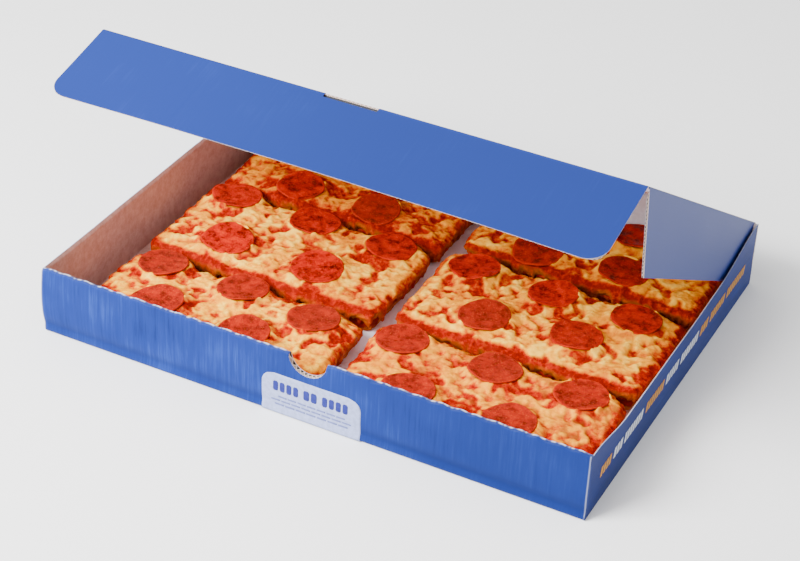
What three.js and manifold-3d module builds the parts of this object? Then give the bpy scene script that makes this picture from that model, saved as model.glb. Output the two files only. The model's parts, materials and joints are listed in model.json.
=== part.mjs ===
// A rectangular pepperoni pizza, cut into six slices, in its shallow corrugated-board box.
// Millimetres, +Z up. The origin is the middle of the tray's underside: +X runs along the
// front wall, +Y to the back wall, where the lid is hinged.
import * as THREE from 'three';
import { mergeVertices } from 'three/addons/utils/BufferGeometryUtils.js';
import Module from 'manifold-3d';

const wasm = await Module();
wasm.setup();

// ---------------------------------------------------------------- driving dimensions

const DEG = Math.PI / 180;

// Tray: outer width, depth and wall height, and the board it is folded from
const WIDTH = 408;
const DEPTH = 312;
const HEIGHT = 52;
const BOARD = 1.6;
const GAP = 0.35;
const FRONT_Y = -DEPTH / 2;
const BACK_Y = DEPTH / 2;
const SIDE_X = WIDTH / 2;
const INSIDE_X = SIDE_X - BOARD;

// Front wall: the board is rolled over the top and back down inside
const ROLL_GAP = 0.8;
const ROLL_DEPTH = 2 * BOARD + ROLL_GAP;
const FOOT_RADIUS = 2.4;
const FOOT_LAP = 4;
const BASE_LAP = 3;
const NOTCH_RADIUS = 14.2;
const NOTCH_OFFSET = 4.5;
const CORNER_GLUE = [BOARD / 2, 2 * BOARD];

// Right wall: its top edge dips between the two corners
const DIP_BOTTOM = 41.6;
const DIP_FRONT = [-148, -94];
const DIP_FRONT_TOP = 49.6;
const DIP_BACK = [76, 154];
const DIP_STEPS = 10;

// Lid panel: hinged on the back wall's top edge, standing open
const LID_OPEN = 32.65;
const LID_LENGTH = 284.5;
const LID_INSET_BACK = 2.2;
const LID_INSET_FRONT = 8.3;
const SLOT_WIDTH = 39;
const SLOT_OFFSET = -6.5;
const SLOT_DEPTH = 2.2;

// Creases: the board starts this far from the fold line and thins towards it on the inside
const CREASE_START = 0.5;
const HINGE_BEVEL = 3;
const SIDE_BEVEL = 5.2;
const WALL_CRUSH = 1.3;
const WALL_CRUSH_DEPTH = 1.2;

// Front tuck flap: bent down from the lid's front edge, with round corners
const TUCK_BEND = 46;
const TUCK_LENGTH = 68.9;
const TUCK_SET_IN = 0.3;
const TUCK_RADIUS = 14;

// Side flaps: folded square to the lid. Each corner is [distance from hinge, depth]; the back
// edge drops beside the back wall before it slants forward
const SIDE_BEND = 90;
const SIDE_FLAP_CREASE = [[6, CREASE_START], [LID_LENGTH - 2.5, CREASE_START]];
const SIDE_FLAP_BACK = [[30, 46], [2.6, 6.4]];
const SIDE_FLAP_RIGHT = [...SIDE_FLAP_CREASE, [237.7, 54.9], ...SIDE_FLAP_BACK];
const SIDE_FLAP_LEFT = [...SIDE_FLAP_CREASE, [237.7, 51], ...SIDE_FLAP_BACK];

// Slices: two columns by three rows
const COLUMNS = {
  left: { x: [-187, -1], rows: [[-150.5, -60], [-53, 43.5], [48, 149.5]], outer: -1, seed: 11 },
  right: { x: [10, 193], rows: [[-150.5, -52], [-45.5, 55], [61, 149.5]], outer: 1, seed: 40 },
};
const ROW_NAMES = ['front', 'middle', 'back'];
const ROW_SEED = 7;
const PAN_CORNER = 9;
const CUT_CORNER = 3;

// Layers of a slice, by height above the table
const CRUST_BOTTOM = BOARD + GAP;
const CRUST_TOP = 13;
const SAUCE_BOTTOM = CRUST_TOP + GAP;
const SAUCE_TOP = 15.2;
const CHEESE_BOTTOM = SAUCE_TOP + GAP;
const CHEESE_TOP = 23.2;
const LAYER_CELLS = [8, 5];
const CHEESE_CELLS = [14, 8];

// How far each layer's edge is set in from the cut, and how far the crust's side swells
const CRUST_SET_IN = 5;
const CRUST_SWELL = 1;
const SAUCE_SET_IN = 3;
const CHEESE_SET_IN = 1;

// Cheese: its fall at the edges, the height of its relief and the lip that hangs at its side
const EDGE_FALL = 3.6;
const EDGE_WIDTH = { u: 0.2, v: 0.36 };
const RELIEF = 1.1;
const LIP_OUT = 0.4;
const LIP_HEIGHT = 0.9;
const LIP_DROP = 0.3;

// Wavelengths of the uneven edges and surfaces
const CRUST_WAVES = [60, 35];
const CHEESE_EDGE_WAVES = [43, 24];
const RELIEF_WAVES = [70, 47, 38, 31];
const LIP_WAVES = [52, 33, 23];
const EDGE_SEED = 90;
const RELIEF_SEED = 50;
const LIP_SEED = 130;

// Pepperoni: a dry-cured sausage disc, a little cupped
const PEPPERONI_RADIUS = 19;
const PEPPERONI_SPREAD = [0.97, 1.03];
const PEPPERONI_THICKNESS = 1.7;
const PEPPERONI_SHOULDER = 0.72;
const PEPPERONI_RIM = [0.3, 0.4];
const PEPPERONI_CUP = [0.45, 1.35];
const PEPPERONI_WAVE = 0.018;
const PEPPERONI_LIFT = 0.35;
const PEPPERONI_GAP = 0.4;
const PEPPERONI_SLOPE_LIMIT = 0.09;
const PEPPERONI_SIDES = 16;
const SEAT_RINGS = 4;
const SEAT_POINTS = 28;
const SEAT_REACH = 0.7;

// Where pepperoni lie on a slice, three behind two: [mm in from its left edge, share of its depth]
const PLACES = [[24, 0.81], [90, 0.81], [153, 0.81], [52, 0.31], [122, 0.31]];

// How far each slice's pepperoni lie from those places, [across, deep]
const SHIFTS = {
  front_left: [[3, 5], [3, 5], [0, -2], [-2, 6], [-1, 3]],
  middle_left: [[1, 7], [3, 5], [4, 4], [-1, 0], [3, 0]],
  back_left: [[2, -3], [0, 2], [-1, -2], [8, -11], [3, -12]],
  front_right: [[-3, 0], [0, 1], [-1, 4], [-2, 0], [0, 2]],
  middle_right: [[1, -1], [-2, -4], [-2, -4], [5, -2], [0, 8]],
  back_right: [[14, -2], [21, 1], [7, -3], [3, -10], [-2, -3]],
};

// ---------------------------------------------------------------- materials

function matte(color, roughness) {
  return new THREE.MeshStandardMaterial({ color, roughness, metalness: 0 });
}

const printedBoard = matte(0x3d6bb8, 0.6);
const bakedCrust = matte(0xb5713a, 0.85);
const tomatoSauce = matte(0xa32a12, 0.45);
const meltedCheese = matte(0xe3b98a, 0.5);
const curedSausage = matte(0xb02a1a, 0.45);

// ---------------------------------------------------------------- solids

// Position-only copy with shared vertices, as a boolean needs it
function welded(geometry) {
  const copy = geometry.clone();
  copy.deleteAttribute('normal');
  copy.deleteAttribute('uv');
  return mergeVertices(copy, 1e-4);
}

function toSolid(geometry) {
  const mesh = welded(geometry);
  return new wasm.Manifold(new wasm.Mesh({
    numProp: 3,
    vertProperties: new Float32Array(mesh.attributes.position.array),
    triVerts: new Uint32Array(mesh.index.array),
  }));
}

function toGeometry(solid) {
  const mesh = solid.getMesh();
  const positions = new Float32Array(mesh.vertProperties);
  const geometry = new THREE.BufferGeometry();
  geometry.setAttribute('position', new THREE.BufferAttribute(positions, 3));
  geometry.setIndex(new THREE.BufferAttribute(new Uint32Array(mesh.triVerts), 1));
  geometry.computeVertexNormals();
  return geometry;
}

function union(solids) {
  return solids.reduce((joined, solid) => joined.add(solid));
}

// The solid and its mirror image on the other side of the box
function bothSides(solid) {
  return solid.add(solid.mirror([1, 0, 0]));
}

function box(x, y, z) {
  const geometry = new THREE.BoxGeometry(x[1] - x[0], y[1] - y[0], z[1] - z[0]);
  geometry.translate((x[0] + x[1]) / 2, (y[0] + y[1]) / 2, (z[0] + z[1]) / 2);
  return toSolid(geometry);
}

// Extrusion along X of an outline drawn in (y, z)
function alongX(outline, x) {
  const settings = { depth: x[1] - x[0], bevelEnabled: false, curveSegments: 10 };
  const geometry = new THREE.ExtrudeGeometry(outline, settings);
  geometry.applyMatrix4(new THREE.Matrix4().set(
    0, 0, 1, x[0],
    1, 0, 0, 0,
    0, 1, 0, 0,
    0, 0, 0, 1,
  ));
  return toSolid(geometry);
}

// Board lying in the XY plane under z = 0, from an outline drawn in (x, y)
function flatBoard(outline) {
  const settings = { depth: BOARD, bevelEnabled: false, curveSegments: 9 };
  const geometry = new THREE.ExtrudeGeometry(outline, settings);
  geometry.translate(0, 0, -BOARD);
  return toSolid(geometry);
}

// Wedge that thins a board's inner face towards the fold line that runs from a to b in the XY
// plane, board on the left of it: all of the thickness goes at the line, nothing at `reach`
function creaseBevel(a, b, reach) {
  const past = 1;
  const margin = 3;
  const along = b.clone().sub(a);
  const length = along.length() + 2 * margin;
  const wedge = new THREE.Shape();
  wedge.moveTo(-past, -BOARD - past);
  wedge.lineTo(-past, 0);
  wedge.lineTo(0, 0);
  wedge.lineTo(reach * (1 + past / BOARD), -BOARD - past);
  wedge.closePath();
  const geometry = new THREE.ExtrudeGeometry(wedge, { depth: length, bevelEnabled: false });
  const forward = along.normalize();
  const start = a.clone().addScaledVector(forward, -margin);
  geometry.applyMatrix4(new THREE.Matrix4().set(
    -forward.y, 0, forward.x, start.x,
    forward.x, 0, forward.y, start.y,
    0, 1, 0, 0,
    0, 0, 0, 1,
  ));
  return toSolid(geometry);
}

// ---------------------------------------------------------------- tray

function smoothStep(value, [low, high]) {
  const t = Math.min(Math.max((value - low) / (high - low), 0), 1);
  return t * t * (3 - 2 * t);
}

// Height of the right wall's top edge at y
function dippedTop(y) {
  const front = (DIP_FRONT_TOP - DIP_BOTTOM) * (1 - smoothStep(y, DIP_FRONT));
  const back = (HEIGHT - DIP_BOTTOM) * smoothStep(y, DIP_BACK);
  return DIP_BOTTOM + front + back;
}

// Outline of a side wall in (y, z), its top edge at the height that topAt gives
function sideWall(topAt) {
  const front = FRONT_Y + BOARD + GAP;
  const outline = new THREE.Shape();
  outline.moveTo(front, 0);
  outline.lineTo(front, HEIGHT - FOOT_RADIUS);
  for (const [low, high] of [DIP_FRONT, DIP_BACK]) {
    for (let i = 0; i <= DIP_STEPS; i += 1) {
      const y = low + (high - low) * i / DIP_STEPS;
      outline.lineTo(y, topAt(y));
    }
  }
  outline.lineTo(BACK_Y, HEIGHT);
  outline.lineTo(BACK_Y, 0);
  outline.closePath();
  return outline;
}

// Section of the front wall: rounded foot, outer layer, rolled top, inner layer
function rolledWall() {
  const foot = FRONT_Y + FOOT_RADIUS;
  const inner = FRONT_Y + ROLL_DEPTH;
  const middle = FRONT_Y + ROLL_DEPTH / 2;
  const rollZ = HEIGHT - ROLL_DEPTH / 2;
  const outline = new THREE.Shape();
  outline.moveTo(foot + FOOT_LAP, 0);
  outline.lineTo(foot, 0);
  outline.absarc(foot, FOOT_RADIUS, FOOT_RADIUS, 1.5 * Math.PI, Math.PI, true);
  outline.lineTo(FRONT_Y, rollZ);
  outline.absarc(middle, rollZ, ROLL_DEPTH / 2, Math.PI, 0, true);
  outline.lineTo(inner, BOARD + GAP);
  outline.lineTo(inner - BOARD, BOARD + GAP);
  outline.lineTo(inner - BOARD, rollZ);
  outline.absarc(middle, rollZ, ROLL_GAP / 2, 0, Math.PI, false);
  outline.lineTo(FRONT_Y + BOARD, BOARD);
  outline.lineTo(foot + FOOT_LAP, BOARD);
  outline.closePath();
  return outline;
}

function fingerNotch() {
  const geometry = new THREE.CylinderGeometry(NOTCH_RADIUS, NOTCH_RADIUS, 4 * ROLL_DEPTH, 28);
  geometry.translate(NOTCH_OFFSET, FRONT_Y, HEIGHT);
  return toSolid(geometry);
}

// The rolled wall's inner layer stops short of the side walls, and its roll leaves them room
function frontWall() {
  const past = 1;
  const behind = [FRONT_Y + BOARD, FRONT_Y + ROLL_DEPTH + past];
  const layerEnd = box([INSIDE_X - GAP, INSIDE_X], behind, [BOARD + GAP / 2, HEIGHT + past]);
  const corner = box([INSIDE_X, SIDE_X + past], behind, [BOARD / 2, HEIGHT + past]);
  return alongX(rolledWall(), [-SIDE_X, SIDE_X]).subtract(bothSides(layerEnd.add(corner)));
}

// Back wall, thinned on the inside under the lid's fold line
function backWall() {
  const past = 1;
  const inner = BACK_Y - BOARD;
  const crushed = [inner - past, inner + WALL_CRUSH];
  return box([-SIDE_X, SIDE_X], [inner, BACK_Y], [0, HEIGHT])
    .subtract(box([-SIDE_X - past, SIDE_X + past], crushed, [HEIGHT - WALL_CRUSH_DEPTH, HEIGHT + past]));
}

function tray() {
  const base = box([-SIDE_X, SIDE_X], [FRONT_Y + FOOT_RADIUS + BASE_LAP, BACK_Y], [0, BOARD]);
  const right = alongX(sideWall(dippedTop), [INSIDE_X, SIDE_X]);
  const left = alongX(sideWall(() => HEIGHT), [-SIDE_X, -INSIDE_X]);
  // a strip at each front corner joins the side wall to the front wall
  const glued = CORNER_GLUE.map((depth) => FRONT_Y + depth);
  const joint = box([INSIDE_X, SIDE_X], glued, [BOARD / 2, HEIGHT - FOOT_RADIUS]);
  const walls = union([base, backWall(), right, left, frontWall(), bothSides(joint)]);
  return toGeometry(walls.subtract(fingerNotch()));
}

// ---------------------------------------------------------------- lid

// Half-width of the lid panel at a distance forward of its hinge
function lidHalf(forward) {
  const narrowing = (LID_INSET_FRONT - LID_INSET_BACK) * forward / LID_LENGTH;
  return SIDE_X - LID_INSET_BACK - narrowing;
}

function lidPanel() {
  const back = -CREASE_START;
  const front = -LID_LENGTH + CREASE_START;
  const edge = GAP / 2;
  const slot = [SLOT_OFFSET - SLOT_WIDTH / 2, SLOT_OFFSET + SLOT_WIDTH / 2];
  const outline = new THREE.Shape();
  outline.moveTo(-lidHalf(0) + edge, back);
  outline.lineTo(-lidHalf(LID_LENGTH) + edge, front);
  outline.lineTo(slot[0], front);
  outline.lineTo(slot[0], front + SLOT_DEPTH);
  outline.lineTo(slot[1], front + SLOT_DEPTH);
  outline.lineTo(slot[1], front);
  outline.lineTo(lidHalf(LID_LENGTH) - edge, front);
  outline.lineTo(lidHalf(0) - edge, back);
  outline.closePath();
  const backLeft = new THREE.Vector2(-lidHalf(0), 0);
  const backRight = new THREE.Vector2(lidHalf(0), 0);
  const frontLeft = new THREE.Vector2(-lidHalf(LID_LENGTH), -LID_LENGTH);
  const frontRight = new THREE.Vector2(lidHalf(LID_LENGTH), -LID_LENGTH);
  return toGeometry(flatBoard(outline)
    .subtract(creaseBevel(backRight, backLeft, HINGE_BEVEL))
    .subtract(creaseBevel(backLeft, frontLeft, SIDE_BEVEL))
    .subtract(creaseBevel(frontLeft, frontRight, HINGE_BEVEL))
    .subtract(creaseBevel(frontRight, backRight, SIDE_BEVEL)));
}

// Tuck flap lying flat, forward of its crease at y = 0
function frontFlap() {
  const half = lidHalf(LID_LENGTH) - TUCK_SET_IN;
  const corner = [half - TUCK_RADIUS, TUCK_RADIUS - TUCK_LENGTH];
  const outline = new THREE.Shape();
  outline.moveTo(half, -CREASE_START);
  outline.lineTo(-half, -CREASE_START);
  outline.lineTo(-half, corner[1]);
  outline.absarc(-corner[0], corner[1], TUCK_RADIUS, Math.PI, 1.5 * Math.PI, false);
  outline.absarc(corner[0], corner[1], TUCK_RADIUS, 1.5 * Math.PI, 2 * Math.PI, false);
  outline.closePath();
  const right = new THREE.Vector2(half, 0);
  const left = new THREE.Vector2(-half, 0);
  return toGeometry(flatBoard(outline).subtract(creaseBevel(right, left, HINGE_BEVEL)));
}

// Side flap lying flat beside its crease, which runs forward (-y) from the hinge; side is 1 or -1
function sideFlap(side, corners) {
  const outline = new THREE.Shape(
    corners.map(([forward, depth]) => new THREE.Vector2(side * depth, -forward)),
  );
  const hinge = new THREE.Vector2(0, 0);
  const far = new THREE.Vector2(0, -LID_LENGTH);
  const [start, end] = side > 0 ? [hinge, far] : [far, hinge];
  return toGeometry(flatBoard(outline).subtract(creaseBevel(start, end, SIDE_BEVEL)));
}

// ---------------------------------------------------------------- pizza

// Repeatable random numbers from 0 to 1
function randomFrom(seed) {
  let state = seed >>> 0;
  return () => {
    state = (state * 1664525 + 1013904223) >>> 0;
    return state / 4294967296;
  };
}

// Smooth uneven surface: waves of the given lengths in seeded directions, -1 to 1 or so
function unevenness(seed, wavelengths) {
  const random = randomFrom(seed);
  const waves = wavelengths.map((wavelength) => {
    const heading = random() * Math.PI * 2;
    const turns = 2 * Math.PI / wavelength;
    const phase = random() * 2 * Math.PI;
    return { x: Math.cos(heading) * turns, y: Math.sin(heading) * turns, phase };
  });
  const strength = 1 / Math.sqrt(waves.length);
  return (x, y) => strength * waves.reduce((sum, w) => sum + Math.sin(w.x * x + w.y * y + w.phase), 0);
}

// Plan of a slice: maps (u, v), each from -1 to 1, to a place on the table. Corners are pulled
// in, by more at the corners of the pan, and the edges are a little uneven.
function slicePlan(slice, setIn, wobble) {
  const centre = [(slice.x[0] + slice.x[1]) / 2, (slice.y[0] + slice.y[1]) / 2];
  const half = [(slice.x[1] - slice.x[0]) / 2, (slice.y[1] - slice.y[0]) / 2];
  return (u, v, out = 0) => {
    const pull = (slice.panCorner(u, v) ? PAN_CORNER : CUT_CORNER) * u ** 8 * v ** 8;
    const shrink = setIn - out;
    const x = centre[0] + u * (half[0] - shrink) - Math.sign(u) * pull;
    const y = centre[1] + v * (half[1] - shrink) - Math.sign(v) * pull;
    return [
      x - Math.abs(wobble(x, y)) * u ** 5,
      y - Math.abs(wobble(y, -x)) * v ** 5,
    ];
  };
}

// The grid's border, once round, as [column, row]
function borderOf([nu, nv]) {
  const count = (n, place) => Array.from({ length: n }, (_, k) => place(k));
  return [
    ...count(nu, (k) => [k, 0]),
    ...count(nv, (k) => [nu, k]),
    ...count(nu, (k) => [nu - k, nv]),
    ...count(nv, (k) => [0, nv - k]),
  ];
}

// Closed layer: a grid over the top, rings down the side, the same grid underneath. Heights
// are functions of the place on the table, and a ring also stands out from the cut by `out`
function layer(plan, cells, topAt, rings, bottomAt) {
  const [nu, nv] = cells;
  const positions = [];
  const index = [];
  const share = (i, n) => 2 * i / n - 1;
  const vertex = (i, j, zAt, out = 0) => {
    const [u, v] = [share(i, nu), share(j, nv)];
    const [x, y] = plan(u, v, out);
    return positions.push(x, y, zAt(x, y, u, v)) / 3 - 1;
  };
  const grid = (zAt) => Array.from({ length: nv + 1 }, (_, j) => (
    Array.from({ length: nu + 1 }, (__, i) => vertex(i, j, zAt))
  ));
  const sheet = (rows, up) => {
    for (let j = 0; j < nv; j += 1) {
      for (let i = 0; i < nu; i += 1) {
        const [a, b, c, d] = [rows[j][i], rows[j][i + 1], rows[j + 1][i + 1], rows[j + 1][i]];
        index.push(...(up ? [a, b, c, a, c, d] : [a, c, b, a, d, c]));
      }
    }
  };
  const border = borderOf(cells);
  const top = grid(topAt);
  const bottom = grid(bottomAt);
  sheet(top, true);
  sheet(bottom, false);
  const edges = [
    border.map(([i, j]) => top[j][i]),
    ...rings.map((ring) => border.map(([i, j]) => vertex(i, j, ring.zAt, ring.out))),
    border.map(([i, j]) => bottom[j][i]),
  ];
  for (let k = 0; k + 1 < edges.length; k += 1) {
    const [upper, lower] = [edges[k], edges[k + 1]];
    for (let n = 0; n < border.length; n += 1) {
      const m = (n + 1) % border.length;
      index.push(upper[n], lower[n], lower[m], upper[n], lower[m], upper[m]);
    }
  }
  const geometry = new THREE.BufferGeometry();
  geometry.setAttribute('position', new THREE.Float32BufferAttribute(positions, 3));
  geometry.setIndex(index);
  geometry.computeVertexNormals();
  return geometry;
}

function crust(slice) {
  const plan = slicePlan(slice, CRUST_SET_IN, unevenness(slice.seed, CRUST_WAVES));
  const swell = { out: CRUST_SWELL, zAt: () => (CRUST_BOTTOM + CRUST_TOP) / 2 };
  return layer(plan, LAYER_CELLS, () => CRUST_TOP, [swell], () => CRUST_BOTTOM);
}

function sauce(slice) {
  const plan = slicePlan(slice, SAUCE_SET_IN, unevenness(slice.seed, CRUST_WAVES));
  return layer(plan, LAYER_CELLS, () => SAUCE_TOP, [], () => SAUCE_BOTTOM);
}

// Height of the melted cheese: level in the middle, falling away round the edge, and uneven
function cheeseTop(slice) {
  const relief = unevenness(slice.seed + RELIEF_SEED, RELIEF_WAVES);
  return (x, y, u, v) => {
    const across = smoothStep(Math.abs(u), [1 - EDGE_WIDTH.u, 1]);
    const deep = smoothStep(Math.abs(v), [1 - EDGE_WIDTH.v, 1]);
    return CHEESE_TOP + RELIEF * relief(x, y) - EDGE_FALL * Math.max(across, deep);
  };
}

function cheese(slice) {
  const plan = slicePlan(slice, CHEESE_SET_IN, unevenness(slice.seed + EDGE_SEED, CHEESE_EDGE_WAVES));
  const drips = unevenness(slice.seed + LIP_SEED, LIP_WAVES);
  const lipAt = (x, y) => CHEESE_BOTTOM + LIP_HEIGHT - LIP_DROP * Math.min(drips(x, y), 1);
  return layer(plan, CHEESE_CELLS, cheeseTop(slice), [{ out: LIP_OUT, zAt: lipAt }], () => CHEESE_BOTTOM);
}

// Slant of the cheese under a disc, and the lowest height at which the disc lies on top of it
function seat(slice, x, y) {
  const ray = new THREE.Raycaster();
  const down = new THREE.Vector3(0, 0, -1);
  const heightAt = (dx, dy) => {
    ray.set(new THREE.Vector3(x + dx, y + dy, 2 * HEIGHT), down);
    const hit = ray.intersectObject(slice.cheeseMesh, false)[0];
    return hit ? hit.point.z : 0;
  };
  const reach = PEPPERONI_RADIUS * SEAT_REACH;
  const slope = [
    (heightAt(reach, 0) - heightAt(-reach, 0)) / (2 * reach),
    (heightAt(0, reach) - heightAt(0, -reach)) / (2 * reach),
  ].map((s) => Math.min(Math.max(s, -PEPPERONI_SLOPE_LIMIT), PEPPERONI_SLOPE_LIMIT));
  let rest = 0;
  for (let ring = 0; ring <= SEAT_RINGS; ring += 1) {
    for (let n = 0; n < SEAT_POINTS; n += 1) {
      const angle = 2 * Math.PI * n / SEAT_POINTS;
      const radius = PEPPERONI_RADIUS * ring / SEAT_RINGS;
      const [dx, dy] = [radius * Math.cos(angle), radius * Math.sin(angle)];
      rest = Math.max(rest, heightAt(dx, dy) - slope[0] * dx - slope[1] * dy);
    }
  }
  return { slope, rest: rest + PEPPERONI_GAP };
}

// Cupped disc with an uneven rim, its underside's middle at the origin
function pepperoniDisc(seed) {
  const random = randomFrom(seed);
  const between = ([low, high]) => low + (high - low) * random();
  const rise = between(PEPPERONI_CUP);
  const radius = PEPPERONI_RADIUS * between(PEPPERONI_SPREAD);
  const [phase, lobes] = [random() * 2 * Math.PI, 2 + Math.floor(2 * random())];
  const cup = (r) => rise * (r / radius) ** 3;
  const shoulder = PEPPERONI_SHOULDER * radius;
  const [rimIn, rimDown] = PEPPERONI_RIM;
  const profile = [
    [0, 0],
    [shoulder, cup(shoulder)],
    [radius - rimIn, cup(radius)],
    [radius, cup(radius) + PEPPERONI_THICKNESS - rimDown],
    [shoulder, cup(shoulder) + PEPPERONI_THICKNESS],
    [0, PEPPERONI_THICKNESS],
  ].map(([r, z]) => new THREE.Vector2(r, z));
  const geometry = welded(new THREE.LatheGeometry(profile, PEPPERONI_SIDES));
  const position = geometry.attributes.position;
  for (let i = 0; i < position.count; i += 1) {
    const [x, z, y] = [position.getX(i), position.getY(i), -position.getZ(i)];
    const angle = Math.atan2(y, x);
    const outward = Math.hypot(x, y) / radius;
    const wave = 1 + PEPPERONI_WAVE * outward * Math.sin(lobes * angle + phase);
    const lift = PEPPERONI_LIFT * outward ** 4 * (1 + Math.sin(lobes * angle - phase));
    position.setXYZ(i, x * wave, y * wave, z + lift);
  }
  geometry.computeVertexNormals();
  return geometry;
}

// ---------------------------------------------------------------- assembly

const object = new THREE.Group();

function add(parent, name, geometry, material) {
  const mesh = new THREE.Mesh(geometry, material);
  mesh.name = name;
  parent.add(mesh);
  return mesh;
}

function addLid() {
  const lid = new THREE.Group();
  lid.position.set(0, BACK_Y, HEIGHT);
  lid.rotation.x = -LID_OPEN * DEG;
  add(lid, 'lid_panel', lidPanel(), printedBoard);
  const tuck = new THREE.Group();
  tuck.position.y = -LID_LENGTH;
  tuck.rotation.x = TUCK_BEND * DEG;
  add(tuck, 'front_flap', frontFlap(), printedBoard);
  lid.add(tuck);
  const taper = Math.asin((LID_INSET_FRONT - LID_INSET_BACK) / LID_LENGTH);
  const flaps = [['side_flap_right', 1, SIDE_FLAP_RIGHT], ['side_flap_left', -1, SIDE_FLAP_LEFT]];
  for (const [name, side, corners] of flaps) {
    const edge = new THREE.Group();
    edge.position.x = side * lidHalf(0);
    edge.rotation.z = -side * taper;
    const folded = new THREE.Group();
    folded.rotation.y = side * SIDE_BEND * DEG;
    add(folded, name, sideFlap(side, corners), printedBoard);
    edge.add(folded);
    lid.add(edge);
  }
  object.add(lid);
}

function addPepperoni(slice, [across, deep], i) {
  const [dx, dy] = SHIFTS[slice.name][i];
  const x = slice.x[0] + across + dx;
  const y = slice.y[0] + deep * (slice.y[1] - slice.y[0]) + dy;
  const { slope, rest } = seat(slice, x, y);
  const name = `pepperoni_${slice.name}_${i + 1}`;
  const disc = add(object, name, pepperoniDisc(slice.seed * 10 + i), curedSausage);
  disc.position.set(x, y, rest);
  const level = new THREE.Vector3(0, 0, 1);
  const normal = new THREE.Vector3(-slope[0], -slope[1], 1).normalize();
  disc.quaternion.setFromUnitVectors(level, normal);
}

function addSlice(slice) {
  add(object, `crust_${slice.name}`, crust(slice), bakedCrust);
  add(object, `sauce_${slice.name}`, sauce(slice), tomatoSauce);
  slice.cheeseMesh = add(object, `cheese_${slice.name}`, cheese(slice), meltedCheese);
  PLACES.forEach((place, i) => addPepperoni(slice, place, i));
}

add(object, 'tray', tray(), printedBoard);
addLid();
for (const [column, { x, rows, outer, seed }] of Object.entries(COLUMNS)) {
  rows.forEach((y, r) => addSlice({
    name: `${ROW_NAMES[r]}_${column}`,
    x,
    y,
    seed: seed + ROW_SEED * r,
    panCorner: (u, v) => Math.sign(u) === outer && Math.sign(v) === r - 1,
  }));
}

export default object;
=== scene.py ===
"""Rectangular pepperoni pizza, cut into six slices, in its open corrugated-board box.

Shapes are worked out in millimetres and written to the meshes in metres, in the frame's own axes:
+X along the box's front wall, +Y to the back wall, where the lid is hinged, +Z up.
"""

import json
import math

import bpy
import numpy as np
from bpy.props import FloatProperty, IntProperty, PointerProperty, StringProperty
from mathutils import Matrix, Vector


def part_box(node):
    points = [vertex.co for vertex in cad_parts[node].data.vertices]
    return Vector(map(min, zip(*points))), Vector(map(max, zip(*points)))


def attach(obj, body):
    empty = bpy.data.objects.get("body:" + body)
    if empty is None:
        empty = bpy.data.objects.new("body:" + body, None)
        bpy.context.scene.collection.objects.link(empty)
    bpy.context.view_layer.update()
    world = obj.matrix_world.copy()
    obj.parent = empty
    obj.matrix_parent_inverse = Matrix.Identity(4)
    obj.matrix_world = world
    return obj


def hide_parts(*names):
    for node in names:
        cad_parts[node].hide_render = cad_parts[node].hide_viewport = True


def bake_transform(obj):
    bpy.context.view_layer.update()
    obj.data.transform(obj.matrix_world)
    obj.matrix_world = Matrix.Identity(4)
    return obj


bl_info = {
    "name": "Boxed Pizza",
    "version": (1, 0, 0),
    "blender": (4, 5, 0),
    "location": "View3D > Sidebar > Boxed Pizza",
    "description": "Pepperoni pizza in six slices, in its open corrugated-board box",
    "category": "Add Mesh",
}

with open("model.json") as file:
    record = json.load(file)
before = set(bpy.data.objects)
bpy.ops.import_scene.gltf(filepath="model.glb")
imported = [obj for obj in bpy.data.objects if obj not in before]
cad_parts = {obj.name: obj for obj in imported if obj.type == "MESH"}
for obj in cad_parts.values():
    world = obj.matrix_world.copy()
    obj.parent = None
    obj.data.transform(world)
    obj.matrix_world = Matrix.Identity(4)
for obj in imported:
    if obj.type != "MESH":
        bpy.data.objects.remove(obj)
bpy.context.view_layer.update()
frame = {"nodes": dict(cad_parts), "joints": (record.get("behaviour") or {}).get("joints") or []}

MM = 0.001


def box_mm(node):
    """Lowest and highest corner of a CAD node, as a 2 x 3 array in millimetres."""
    return np.array([list(corner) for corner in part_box(node)]) / MM


def joint_mm(name):
    """Place of a joint of the frame, in millimetres."""
    joint = next(j for j in frame["joints"] if j["name"] == name)
    return np.array(joint["pos_m"]) / MM


# ---------------------------------------------------------------- sizes, in millimetres

TRAY_LOW, TRAY_HIGH = box_mm("tray")
SIDE_X, BACK_Y, WALL_TOP = TRAY_HIGH
FRONT_Y = TRAY_LOW[1]
BOARD = 1.6
FLUTE_PITCH = 3.0
# Bands across the board's thickness in its cut edges
RIM_LAYERS = 4

# Front wall: two layers of board with a rolled top, a rounded foot and a finger notch
ROLL_DEPTH = 4.0
FOOT_RADIUS = 2.4
NOTCH_RADIUS = 14.2
NOTCH_X = 4.5
INK_BELOW_ROLL = 11.0
# Height of the line pressed in above its foot
PRESSED_LINE = 7.0

# Side walls: the right one's top edge dips between the two corners
SIDE_PROUD = 0.06
DIP_BOTTOM = 41.6
DIP_FRONT = (-148.0, -94.0)
DIP_FRONT_TOP = 49.6
DIP_BACK = (76.0, 154.0)

# Lid, from the frame's fold lines
HINGE = joint_mm("lid_hinge")
TUCK_FOLD = joint_mm("tuck_fold")
LID_LENGTH = np.linalg.norm(TUCK_FOLD - HINGE)
LID_INSET_BACK = 2.2
LID_INSET_FRONT = 8.3
LID_TAPER = math.asin((LID_INSET_FRONT - LID_INSET_BACK) / LID_LENGTH)
LID_SET_IN = 0.2
CREASE_START = 0.5
CREASE_REACH = 1.6
HINGE_BEVEL = 3.0
SIDE_BEVEL = 8.0
SLOT_X = (-26.0, 13.0)
SLOT_DEPTH = 3.6
# How far the lid's edge is whole past the slot's ends
SLOT_PAST = 4.0
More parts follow.
